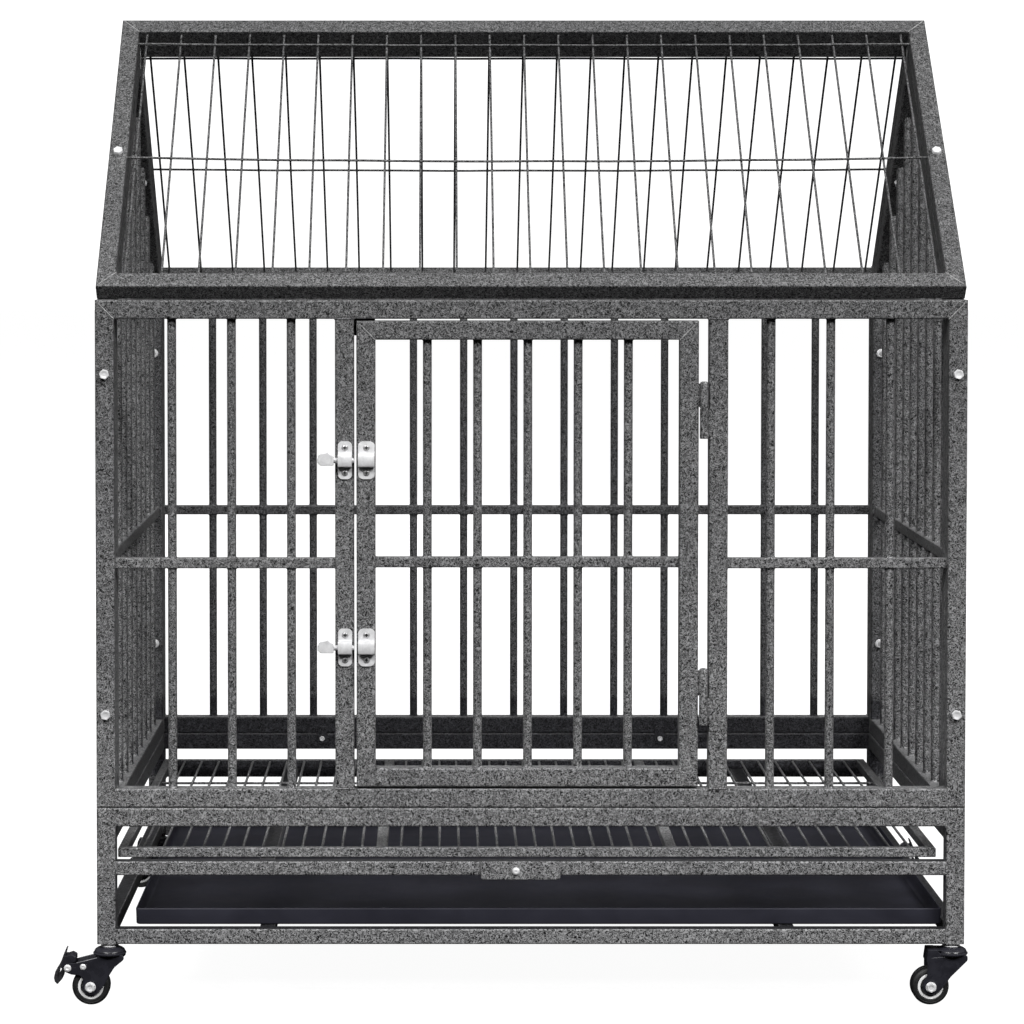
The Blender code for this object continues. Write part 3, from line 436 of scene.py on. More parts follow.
def rounded(points, radii, seg=6):
    """Closed outline with its corners rounded."""
    out = []
    n = len(points)
    for i in range(n):
        a, b, c = (Vector(points[k % n]) for k in (i - 1, i, i + 1))
        r = radii if isinstance(radii, (int, float)) else radii[i]
        if r <= 0:
            out.append(tuple(b))
            continue
        e, f = (a - b).normalized(), (c - b).normalized()
        half = math.acos(max(-1, min(1, e.dot(f)))) / 2
        t = min(r / math.tan(half), (a - b).length * 0.49, (c - b).length * 0.49)
        rr = t * math.tan(half)
        centre = b + (e + f).normalized() * (rr / math.sin(half))
        p, q = b + e * t, b + f * t
        a0 = math.atan2(p.y - centre.y, p.x - centre.x)
        a1 = math.atan2(q.y - centre.y, q.x - centre.x)
        d = (a1 - a0 + math.pi) % (2 * math.pi) - math.pi
        for k in range(seg + 1):
            ang = a0 + d * k / seg
            out.append((centre.x + rr * math.cos(ang), centre.y + rr * math.sin(ang)))
    return out


def mitre(a, b):
    """Plane normal of the mitre between two directions that meet."""
    return (Vector(a).normalized() + Vector(b).normalized()).normalized()


X, Y, Z = Vector((1, 0, 0)), Vector((0, 1, 0)), Vector((0, 0, 1))
MID_Y, BACK_MID_Y = TUBE / 2, DEPTH - TUBE / 2
T = TUBE


def bar(p, a, b, r=BAR_D / 2, n=20, seed=0.0, weld=(True, True), sink=3.0):
    """Round bar between the rail faces at a and b, with its end welds."""
    a, b = Vector(a), Vector(b)
    w = (b - a).normalized()
    p.use(HAMMER).rod(a - w * sink, b + w * sink, r, n)
    if weld[0]:
        p.collar(a, w, r, 1.2, seed=seed)
    if weld[1]:
        p.collar(b, -w, r, 1.2, seed=seed + 7)


def rect_frame(p, x0, x1, z0, z1, yc, t=TUBE):
    """Mitred frame of square tube in the XZ plane."""
    h = t / 2
    c = [Vector((x0 + h, yc, z0 + h)), Vector((x1 - h, yc, z0 + h)), Vector((x1 - h, yc, z1 - h)), Vector((x0 + h, yc, z1 - h))]
    dirs = [X, Z, -X, -Z]
    for i in range(4):
        p.use(HAMMER).square(c[i], c[(i + 1) % 4], Y, t, t, cut0=dirs[i - 1] + dirs[i], cut1=dirs[i] + dirs[(i + 1) % 4])
    for x, z, sx, sz in ((x0, z0, 1, 1), (x1, z0, -1, 1), (x1, z1, -1, -1), (x0, z1, 1, -1)):
        for y in (yc - h, yc + h):
            p.use(HAMMER if sz > 0 else SCAR).bead((x + sx * 3.5, y, z + sz * 3.5), (x + sx * (t + 0.5), y, z + sz * (t + 0.5)), 0.55, 0.8, x + z)


def stub_weld(p, at, w, h, up, side, seed=0.0, r=0.7):
    """Weld bead round a square rail where it butts against another: at its centre, w across side, h along up."""
    at, up, side = Vector(at), Vector(up), Vector(side)
    c = [at + side * (sx * w / 2) + up * (sz * h / 2) for sx, sz in ((-1, -1), (1, -1), (1, 1), (-1, 1))]
    for i in range(4):
        p.use(HAMMER).bead(c[i], c[(i + 1) % 4], r, 0.7, seed + i)


# ---- front panel --------------------------------------------------------------
p = Piece("vis_front_panel")
rect_frame(p, -HALF, HALF, PANEL_Z, PANEL_TOP, MID_Y)
for x0, x1 in ((JAMB_L0, JAMB_L1), (JAMB_R0, JAMB_R1)):
    xm = (x0 + x1) / 2
    p.use(HAMMER).square((xm, MID_Y, PANEL_Z + T - 2), (xm, MID_Y, PANEL_TOP - T + 2), Y, T, T)
    for z in (PANEL_Z + T, PANEL_TOP - T):
        stub_weld(p, (xm, MID_Y, z), T, T, Y, X, xm + z, 0.9)
for x0, x1 in ((-HALF + T, JAMB_L0), (JAMB_R1, HALF - T)):
    p.use(HAMMER).square((x0 - 2, MID_Y, FRONT_MID_Z), (x1 + 2, MID_Y, FRONT_MID_Z), Y, MID_T - 1.0, MID_T, 1.2)
    for x in (x0, x1):
        stub_weld(p, (x, MID_Y, FRONT_MID_Z), MID_T - 1, MID_T, Y, Z, x, 0.8)
for s in (-1, 1):
    for i, x in enumerate((253.5, 316.6, 379.7)):
        bar(p, (s * x, MID_Y, PANEL_Z + T), (s * x, MID_Y, PANEL_TOP - T), seed=s * x)
        for dz in (-1, 1):
            p.use(HAMMER).collar((s * x, MID_Y, FRONT_MID_Z + dz * MID_T / 2), (0, 0, dz), BAR_D / 2, 1.0, seed=x)
for z in BOLT_HEIGHTS:
    pass
z1 = PANEL_TOP - T + 10
p.use(BLACK).plate([(JAMB_L1 - 10, z1 - 28), (JAMB_L1 + 8, z1 - 28), (JAMB_L1 + 22, z1 - 14), (JAMB_L1 + 22, z1), (JAMB_L1 - 10, z1)],
                   T - 0.2, T + 2.3, 1)
p.done("frame", "hammered_grey_paint", "front_panel")

# ---- back panel ----------------------------------------------------------------
p = Piece("vis_back_panel")
zb = PANEL_Z - DROP
rect_frame(p, -HALF, HALF, zb, PANEL_TOP, BACK_MID_Y)
p.use(HAMMER).square((-HALF + T - 2, BACK_MID_Y, SIDE_MID_Z), (HALF - T + 2, BACK_MID_Y, SIDE_MID_Z), Y, MID_T - 1.0, MID_T, 1.2)
for i in range(-6, 7):
    x = -3.6 + 62.65 * i
    bar(p, (x, BACK_MID_Y, zb + T), (x, BACK_MID_Y, PANEL_TOP - T), n=16, seed=x)
    for dz in (-1, 1):
        p.use(HAMMER).collar((x, BACK_MID_Y, SIDE_MID_Z + dz * MID_T / 2), (0, 0, dz), BAR_D / 2, 1.0, 14, seed=x)
p.done("frame", "hammered_grey_paint", "back_panel")

# ---- side panels ---------------------------------------------------------------
ROOF_UNDER = ROOF_LIP_Z - ROOF_LIP_Y - (T + GAP) * math.sqrt(2)
ya, yb, ym = T + GAP, DEPTH - T - GAP, DEPTH / 2
inner_line = ROOF_UNDER - T * math.sqrt(2)
mid_line = ROOF_UNDER - T / math.sqrt(2)
for name, sx in (("side_panel_left", -1), ("side_panel_right", 1)):
    p = Piece("vis_" + name)
    xm = sx * BOLT_X
    h = T / 2
    c = [Vector((xm, ya + h, zb + h)), Vector((xm, yb - h, zb + h)), Vector((xm, yb - h, mid_line + ya + h)),
         Vector((xm, ym, mid_line + ym)), Vector((xm, ya + h, mid_line + ya + h))]
    d = [(c[(i + 1) % 5] - c[i]).normalized() for i in range(5)]
    for i in range(5):
        p.use(HAMMER).square(c[i], c[(i + 1) % 5], X, T, T, cut0=d[i - 1] + d[i], cut1=d[i] + d[(i + 1) % 5])
    for i in range(5):
        n = (d[i] - d[i - 1]).normalized()
        for x in (xm - h, xm + h):
            p.use(SCAR).bead(c[i] - n * 10 + X * (x - xm), c[i] + n * 13.5 + X * (x - xm), 0.55, 0.8, i)
    for zc in (SIDE_MID_Z, PANEL_TOP - MID_T / 2 - 4):
        p.use(HAMMER).square((xm, ya + T - 2, zc), (xm, yb - T + 2, zc), X, MID_T, MID_T, 1.2)
    for i in range(-4, 5):
        y = ym + SIDE_PITCH * i
        top = inner_line + (y if y <= ym else DEPTH - y)
        bar(p, (xm, y, zb + T), (xm, y, top), n=16, seed=y, weld=(True, False), sink=4.0)
        for zc in (SIDE_MID_Z, PANEL_TOP - MID_T / 2 - 4):
            for dz in (-1, 1):
                p.use(HAMMER).collar((xm, y, zc + dz * MID_T / 2), (0, 0, dz), BAR_D / 2, 1.0, 12, seed=y)
    p.done("frame", "hammered_grey_paint", name)

# ---- roof panels ----------------------------------------------------------------
wires = [ROOF_PITCH * (i - (ROOF_WIRES - 1) / 2) for i in range(ROOF_WIRES)]
for name, mirror, length, crosses in (("roof_panel_front", False, ROOF_LEN, ROOF_CROSS), ("roof_panel_back", True, ROOF_LEN_BACK, ROOF_CROSS_BACK)):
    p = Piece("vis_" + name)
    h = T / 2
    c = [Vector((-HALF + h, h, -h)), Vector((HALF - h, h, -h)), Vector((HALF - h, length - h, -h)), Vector((-HALF + h, length - h, -h))]
    dirs = [X, Y, -X, -Y]
    for i in range(4):
        p.use(HAMMER).square(c[i], c[(i + 1) % 4], Z, T, T, cut0=dirs[i - 1] + dirs[i], cut1=dirs[i] + dirs[(i + 1) % 4])
    for x, y, sx, sy in ((-HALF, 0, 1, 1), (HALF, 0, -1, 1), (HALF, length, -1, -1), (-HALF, length, 1, -1)):
        for z in (0, -T):
            p.use(SCAR).bead((x + sx * 3.0, y + sy * 3.0, z), (x + sx * (T + 0.8), y + sy * (T + 0.8), z), 0.6, 0.8, x + y)
    zc = -WIRE_DEPTH - WIRE / 2
    for i, x in enumerate(wires):
        bend = 0.45 * noise.noise(Vector((i * 3.1, 0.4 if mirror else 9.2, 0)))
        path = [(x + bend * math.sin(math.pi * k / 12) * 1.6, T - 3 + (length - 2 * T + 6) * k / 12, zc) for k in range(13)]
        p.use(HAMMER).sweep(path, WIRE / 2, 10)
        for y, s in ((T, 1), (length - T, -1)):
            p.use(HAMMER).collar((x, y, zc), (0, s, 0), WIRE / 2, 0.9, 10, seed=x)
    zc += WIRE - 0.2
    for j, y in enumerate(crosses):
        y += WIRE / 2
        rise = ((6.0, 2.0), (2.0, 0.0))[mirror][j]
        base = y + ((0.0, -1.0), (0.0, 0.0))[mirror][j]
        path = [(-HALF + T - 3 + (WIDTH - 2 * T + 6) * k / 30, base + rise * (k / 15 - 1) ** 2 + 0.3 * math.sin(k * 0.9 + j + mirror),
                 zc + 0.12 * math.sin(k * 1.7)) for k in range(31)]
        p.use(HAMMER).sweep(path, WIRE / 2, 10)
        for s in (-1, 1):
            p.use(HAMMER).collar((s * (HALF - T), base + rise, zc), (-s, 0, 0), WIRE / 2, 0.9, 10, seed=s)
    tilt = Matrix.Translation((0, ROOF_LIP_Y, ROOF_LIP_Z)) @ Matrix.Rotation(math.radians(45), 4, "X")
    if mirror:
        tilt = Matrix.Translation((0, DEPTH, 0)) @ Matrix.Rotation(math.radians(180), 4, "Z") @ tilt
    p.done("frame", "hammered_grey_paint", name, matrix=tilt)

# ---- stand -----------------------------------------------------------------------
p = Piece("vis_stand_frame")
low = STAND_TOP - DROP
h = T / 2
yr = DEPTH - T
for sx in (-1, 1):
    xm = sx * BOLT_X
    p.use(HAMMER).square((xm, h, STAND_Z), (xm, h, STAND_TOP - h), Y, T, T, cut1=Vector((sx * -1, 0, 1)))
    p.use(HAMMER).square((xm, DEPTH - h, STAND_Z), (xm, DEPTH - h, low - h), Y, T, T, cut1=Vector((sx * -1, 0, 1)))
    p.use(HAMMER).bead((sx * (HALF - 3.5), 0, STAND_TOP - 3.5), (sx * (HALF - T - 0.5), 0, STAND_TOP - T - 0.5), 0.55, 0.8, sx)
    p.use(HAMMER).bead((sx * (HALF - 3.5), DEPTH, low - 3.5), (sx * (HALF - T - 0.5), DEPTH, low - T - 0.5), 0.55, 0.8, sx)
p.use(HAMMER).square((-HALF + h, h, STAND_TOP - h), (HALF - h, h, STAND_TOP - h), Z, T, T, cut0=(1, 0, 1), cut1=(1, 0, -1))
p.use(HAMMER).square((-HALF + h, DEPTH - h, low - h), (HALF - h, DEPTH - h, low - h), Z, T, T, cut0=(1, 0, 1), cut1=(1, 0, -1))
for sx in (-1, 1):
    xm = sx * BOLT_X
    p.use(HAMMER).square((xm, T - 2, low - h), (xm, yr + 2, low - h), Z, T, T)
    for y, s in ((T, 1), (yr, -1)):
        stub_weld(p, (xm, y, low - h), T - 1, T - 1, Z, X, sx + y, 0.8)
for z0, z1 in ((STAND_Z, LOW_RAIL_Z), (SHELF_Z0, SHELF_Z)):
    t = z1 - z0
    zc = (z0 + z1) / 2
    for yc, s in ((t / 2, 1), (DEPTH - t / 2, -1)):
        p.use(HAMMER).square((-HALF + T - 2, yc, zc), (HALF - T + 2, yc, zc), Z, t, t, 1.5)
        for sx in (-1, 1):
            stub_weld(p, (sx * (HALF - T), yc, zc), t - 1, t - 1, Z, Y, sx + z0, 0.8)
    for sx in (-1, 1) if z0 == STAND_Z else ():
        xc = sx * (HALF - t / 2)
        p.use(HAMMER).square((xc, T - 2, zc), (xc, yr + 2, zc), Z, t, t, 1.5)
        for y in (T, yr):
            stub_weld(p, (xc, y, zc), t - 1, t - 1, Z, X, sx + z0 + y, 0.8)
    for x in SUPPORT_X:
        p.use(HAMMER).square((x, t - 1.5, (z0 + 4 + z1) / 2), (x, DEPTH - t + 1.5, (z0 + 4 + z1) / 2), Z, 16, z1 - z0 - 4, 1.0)
        for y, s in ((t, 1), (DEPTH - t, -1)):
            p.use(HAMMER).bead((x - 8, y, z0 + 4), (x + 8, y, z0 + 4), 0.8, 0.7, x)
p.done("frame", "hammered_grey_paint", "stand_frame")


# ---- hex bolts ---------------------------------------------------------------------
def hex_head(p, at, out, r, height, dome=0.5, mat=None, turn=0.25):
    """Hexagon head standing on at, growing along out, chamfered and slightly dished."""
    p.use(mat or ZINC)
    c, w = Vector(at), Vector(out).normalized()
    u, v = frame_of(w)
    n = 30
    def ring(radius, up, hexed):
        pts = []
        for i in range(n):
            a = 2 * math.pi * (i + 0.5) / n
            k = 1.0
            if hexed:
                b = (a + turn * math.pi / 3) % (math.pi / 3) - math.pi / 6
                k = math.cos(math.pi / 6) / math.cos(b)
            pts.append(c + w * up + radius * k * (math.cos(a) * u + math.sin(a) * v))
        return pts
    flat = r * 0.9
    p.loft([ring(r, 0, True), ring(r, height * 0.78, True), ring(flat, height, True), ring(flat * 0.62, height, False),
            ring(flat * 0.5, height - dome * 0.9, False), ring(flat * 0.2, height - dome * 0.9, False)])


def washer(p, at, out, r, t=0.9, mat=None):
    p.use(mat or ZINC).lathe(at, out, [(r - 0.2, 0), (r, 0.2), (r, t - 0.25), (r - 0.25, t)], 28)


def visual_bolt(name, node, head_at, direction, grip):
    p = Piece(name)
    w = Vector(direction).normalized()
    a = Vector(head_at)
    hex_head(p, a - w * 0.3, -w, 5.6, 3.9)
    b = a + w * grip
    washer(p, b + w * 0.25, w, 5.5)
    hex_head(p, b + w * 1.0, w, 5.3, 3.6)
    p.use(SCREW).lathe(b + w * 3.0, w, [(2.9, 0), (2.9, 1.8), (2.3, 2.3)], 16)
    p.done("frame", "zinc_plate", node)


grip = 2 * T + GAP
for end, y, dy in (("front", 0, 1), ("back", DEPTH, -1)):
    for side, sx in (("left", -1), ("right", 1)):
        for level, z in zip(("upper", "lower"), BOLT_HEIGHTS):
            node = f"panel_bolt_{end}_{side}_{level}"
            visual_bolt("vis_" + node, node, (sx * BOLT_X, y, z), (0, dy, 0), grip)
d = math.sqrt(0.5)
for end, sy in (("front", 1), ("back", -1)):
    for side, sx in (("left", -1), ("right", 1)):
        y = ROOF_LIP_Y + ROOF_BOLT * d
        node = f"roof_bolt_{end}_{side}"
        visual_bolt("vis_" + node, node, (sx * BOLT_X, y if sy > 0 else DEPTH - y, ROOF_LIP_Z + ROOF_BOLT * d), (0, sy * d, -d), grip)

for side, x in (("left", -243.0), ("right", 179.0)):
    p = Piece("vis_rear_clip_" + side)
    y0 = yr - GAP
    p.use(HAMMER).plate(rounded([(x - 6, low - 13), (x + 6, low - 13), (x + 6, low + 9), (x - 6, low + 9)], 2.5, 5), y0 - 1.5, y0, 1)
    hex_head(p, (x, y0 - 1.4, low - 6.5), (0, -1, 0), 3.4, 2.6, mat=ZINC)
    p.done("frame", "hammered_grey_paint", "rear_clip_" + side)

# ---- floor grid ----------------------------------------------------------------------
p = Piece("vis_floor_grid")
gz0 = SHELF_Z + GAP
gz1 = gz0 + GRID_TUBE
gm = (gz0 + gz1) / 2
g = GRID_TUBE / 2
c = [Vector((GRID_X0 + g, GRID_Y0 + g, gm)), Vector((GRID_X1 - g, GRID_Y0 + g, gm)),
     Vector((GRID_X1 - g, GRID_Y1 - g, gm)), Vector((GRID_X0 + g, GRID_Y1 - g, gm))]
dirs = [X, Y, -X, -Y]
for i in range(4):
    p.use(HAMMER).square(c[i], c[(i + 1) % 4], Z, GRID_TUBE, GRID_TUBE, 1.1, cut0=dirs[i - 1] + dirs[i], cut1=dirs[i] + dirs[(i + 1) % 4])
for x in GRID_MEMBERS:
    p.use(HAMMER).square((x, GRID_Y0 + GRID_TUBE - 1, gm), (x, GRID_Y1 - GRID_TUBE + 1, gm), Z, 12, GRID_TUBE - 0.4, 1.1)
stations = [(GRID_X0 + g, GRID_MEMBERS[0], 13), (GRID_MEMBERS[0], GRID_MEMBERS[1], 15), (GRID_MEMBERS[1], GRID_X1 - g, 13)]
for a, b, n in stations:
    for i in range(1, n):
        x = a + (b - a) * i / n
        p.use(HAMMER).rod((x, GRID_Y0 + GRID_TUBE - 2, gz1 - 0.5 - GRID_WIRE / 2), (x, GRID_Y1 - GRID_TUBE + 2, gz1 - 0.5 - GRID_WIRE / 2), GRID_WIRE / 2, 10)
for y in GRID_LATERALS:
    p.use(HAMMER).rod((GRID_X0 + 4, y + GRID_WIRE / 2, gz1 - 0.2 - 1.5 * GRID_WIRE), (GRID_X1 - 4, y + GRID_WIRE / 2, gz1 - 0.2 - 1.5 * GRID_WIRE), GRID_WIRE / 2, 10)
p.done("floor_grid", "hammered_grey_paint", "floor_grid")

# ---- tray: folded sheet with a rolled rim ----------------------------------------------
p = Piece("vis_tray")
tz = LOW_RAIL_Z + GAP


def tray_ring(dx, dz, r):
    x0, x1, y0, y1 = TRAY_X0 + dx, TRAY_X1 - dx, TRAY_Y0 + dx, TRAY_Y1 - dx
    return [Vector((a, b, tz + dz)) for a, b in rounded([(x0, y0), (x1, y0), (x1, y1), (x0, y1)], max(0.3, r), 5)]


H = TRAY_H
rings = [tray_ring(4.0, 0.0, 3.0), tray_ring(1.6, 0.2, 3.6), tray_ring(0.7, 0.8, 3.9), tray_ring(0.4, 2.0, 4.0), tray_ring(0.2, H * 0.6, 4.0),
         tray_ring(0.0, H - 1.6, 4.0), tray_ring(0.1, H - 0.6, 4.0), tray_ring(0.8, H - 0.05, 3.6), tray_ring(1.6, H - 0.3, 3.2),
         tray_ring(1.8, H - 1.2, 3.0), tray_ring(2.0, H * 0.6, 3.0), tray_ring(2.3, 3.2, 2.8), tray_ring(3.2, 1.7, 2.6), tray_ring(5.5, 1.2, 2.4)]
p.use(TRAYCOAT).loft(rings)
p.done("tray", "black_tray_paint", "tray", sharp=60)

# ---- stop plate ------------------------------------------------------------------------
p = Piece("vis_stop_plate")
px, pz = STOP_PIVOT
p.use(HAMMER).plate(rounded([(STOP_X0, STOP_Z0), (STOP_X1, STOP_Z0), (STOP_X1, STOP_Z1), (STOP_X0, STOP_Z1)], 3.4, 6), -GAP - 2.0, -GAP, 1, 0.5)
p.done("stop_plate", "hammered_grey_paint", "stop_plate")
p = Piece("vis_stop_plate_bolt")
p.use(ZINC).lathe((px, -2.4, pz), (0, -1, 0), [(4.2, 0), (4.2, 1.0), (3.9, 2.0), (3.2, 2.8), (2.0, 3.1), (1.3, 3.15), (1.0, 2.3)], 30)
p.done("frame", "zinc_plate", "stop_plate_bolt")

# ---- door --------------------------------------------------------------------------------
p = Piece("vis_door")
rect_frame(p, DOOR_X0, DOOR_X1, DOOR_Z0, DOOR_Z1, MID_Y)
p.use(HAMMER).square((DOOR_X0 + T - 2, MID_Y, 471.4), (DOOR_X1 - T + 2, MID_Y, 471.4), Y, MID_T - 1.0, MID_T, 1.2)
for x in (DOOR_X0 + T, DOOR_X1 - T):
    stub_weld(p, (x, MID_Y, 471.4), MID_T - 1, MID_T, Y, Z, x, 0.8)
for i in range(-2, 3):
    x = -3.4 + 53.1 * i
    bar(p, (x, MID_Y, DOOR_Z0 + T), (x, MID_Y, DOOR_Z1 - T), seed=x)
    for dz in (-1, 1):
        p.use(HAMMER).collar((x, MID_Y, 471.4 + dz * MID_T / 2), (0, 0, dz), BAR_D / 2, 1.0, seed=x)
p.done("door", "hammered_grey_paint", "door")

# lift-off hinges
for level, (z0, z1, z2) in zip(("upper", "lower"), HINGE_Z):
    p = Piece("vis_door_hinge_sleeve_" + level)
    p.use(HAMMER).lathe((HINGE_X, HINGE_Y, z1 + GAP), (0, 0, 1),
                        [(2.6, 0), (HINGE_R - 0.3, 0), (HINGE_R, 0.3), (HINGE_R, z2 - z1 - 2.4), (HINGE_R * 0.86, z2 - z1 - 1.0),
                         (HINGE_R * 0.55, z2 - z1 - 0.3), (0.4, z2 - z1 - 0.1)], 28)
    lug = rounded([(DOOR_X1 - 1.5, z1 + 1.6), (HINGE_X, z1 + 1.6), (HINGE_X, z2 - 2.2), (DOOR_X1 - 1.5, z2 - 2.2)], 0.8, 3)
    p.use(HAMMER).plate(lug, -0.4, 3.4, 1, 0.5)
    p.use(HAMMER).bead((DOOR_X1 + 0.2, 0.2, z1 + 2), (DOOR_X1 + 0.2, 0.2, z2 - 3), 1.0, 0.7, z1)
    p.done("door", "hammered_grey_paint", "door_hinge_sleeve_" + level)
    p = Piece("vis_frame_hinge_pin_" + level)
    p.use(HAMMER).lathe((HINGE_X, HINGE_Y, z0), (0, 0, 1),
                        [(HINGE_R - 0.4, 0), (HINGE_R, 0.4), (HINGE_R, z1 - z0 - 0.3), (HINGE_R - 0.3, z1 - z0), (2.2, z1 - z0)], 28)
    p.use(ZINC).rod((HINGE_X, HINGE_Y, z1 - 3), (HINGE_X, HINGE_Y, z2 - 2.0), 2.2, 16)
    lug = rounded([(HINGE_X, z0 + 1.6), (JAMB_R0 + 1.5, z0 + 1.6), (JAMB_R0 + 1.5, z1 - 1.6), (HINGE_X, z1 - 1.6)], 0.8, 3)
    p.use(HAMMER).plate(lug, -0.4, 3.4, 1, 0.5)
    p.use(HAMMER).bead((JAMB_R0 - 0.2, 0.2, z0 + 3), (JAMB_R0 - 0.2, 0.2, z1 - 3), 1.0, 0.7, z0)
    p.done("frame", "hammered_grey_paint", "frame_hinge_pin_" + level)


# ---- latches --------------------------------------------------------------------------------
def strap_sheet(p, x0, x1, z, t=1.4):
    """Pressed strap: rounded flat feet and a raised bridge, as one bent sheet with round ends."""
    xc, hw = (x0 + x1) / 2, (x1 - x0) / 2
    side = [(-20.0, 0.3), (-7.6, 0.3), (-6.5, 0.9), (-6.0, 2.2), (-5.9, 6.4), (-5.2, 7.9), (-3.6, 8.5), (0, 8.55),
            (3.6, 8.5), (5.2, 7.9), (5.9, 6.4), (6.0, 2.2), (6.5, 0.9), (7.6, 0.3), (20.0, 0.3)]
    rows = []
    for i, (h, out) in enumerate(side):
        a = side[max(i - 1, 0)]
        b = side[min(i + 1, len(side) - 1)]
        tan = Vector((b[0] - a[0], b[1] - a[1])).normalized()
        nrm = Vector((-tan.y, tan.x))
        rows.append((h, out, nrm))
    fine = []
    for k, (h, out, nrm) in enumerate(rows):
        fine.append((h, out, nrm, hw))
        if k == 0:
            for f in (0.7, 1.8, 3.4, 5.4):
                fine.append((h + f, out, nrm, hw))
        if k == len(rows) - 2:
            nh, no, nn = rows[-1]
            for f in (5.4, 3.4, 1.8, 0.7):
                fine.append((nh - f, no, nn, hw))
    rings = []
    for h, out, nrm, w in fine:
        e = 20.0 - abs(h)
        w = hw * math.sqrt(max(0.0, 1 - max(0.0, (5.0 - e) / 5.6) ** 2.4)) if e < 5 else hw
        w = max(w, hw * 0.35)
        a = [(-w + 0.3, 0.0), (w - 0.3, 0.0), (w, 0.3), (w, t - 0.4), (w - 0.4, t), (-w + 0.4, t), (-w, t - 0.4), (-w, 0.3)]
        rings.append([Vector((xc + q, -(out + nrm.y * s), z + h + nrm.x * s)) for q, s in a])
    p.use(ZINC).loft(rings)


def pan_screw(p, x, z, y=-1.7, r=3.5):
    p.use(SCREW).lathe((x, y + 0.3, z), (0, -1, 0), [(r, 0), (r, 0.4), (r * 0.93, 1.0), (r * 0.72, 1.6), (r * 0.35, 1.85), (0.3, 1.9)], 24)
    # the cross slot is a thin black cross on the head: painted shade standing in for the recess
    p.use(BLACK)
    for w, h in ((0.55, 1.8), (1.8, 0.55)):
        p.plate([(x - w, z - h), (x + w, z - h), (x + w, z + h), (x - w, z + h)], y - 1.72, y - 1.2, 1, 0.1)


for level, z in zip(("upper", "lower"), LATCH_Z):
    for kind, (x0, x1), body in (("keeper", KEEPER_X, "frame"), ("catch", CATCH_X, "door")):
        p = Piece(f"vis_latch_{kind}_{level}")
        strap_sheet(p, x0, x1, z)
        for dz in (-13.2, 13.2):
            pan_screw(p, (x0 + x1) / 2, z + dz)
        p.done(body, "zinc_plate", f"latch_{kind}_{level}")
    p = Piece("vis_latch_bolt_" + level)
    p.use(ZINC).lathe((-224.0, BOLT_Y, z), (1, 0, 0), [(2.5, 0), (2.9, 0.5), (2.9, 35.4), (2.5, 36.6), (1.6, 37.4), (0.3, 37.6)], 24)
    neck = rounded([(-225.2, z - 2.4), (-222.2, z - 2.4), (-222.2, z + 2.4), (-225.2, z + 2.4)], 0.7, 3)
    p.use(ZINC).plate(neck, BOLT_Y - 6.6, BOLT_Y + 1.0, 1, 0.3)
    tab = rounded([(-225.3, z - 1), (-222.5, z - 4.8), (-208.2, z - 4.8), (-208.2, z + 5.2), (-212.0, z + 6.6), (-214.6, z + 9.2), (-217.4, z + 8.0),
                   (-223.8, z + 7.0)], [1.5, 2.5, 1, 1, 2, 1.5, 2, 2.5], 5)
    p.use(ZINC).plate(tab, BOLT_Y - 7.9, BOLT_Y - 5.8, 1, 0.5)
    p.done("latch_slide_" + level, "zinc_plate", "latch_bolt_" + level)


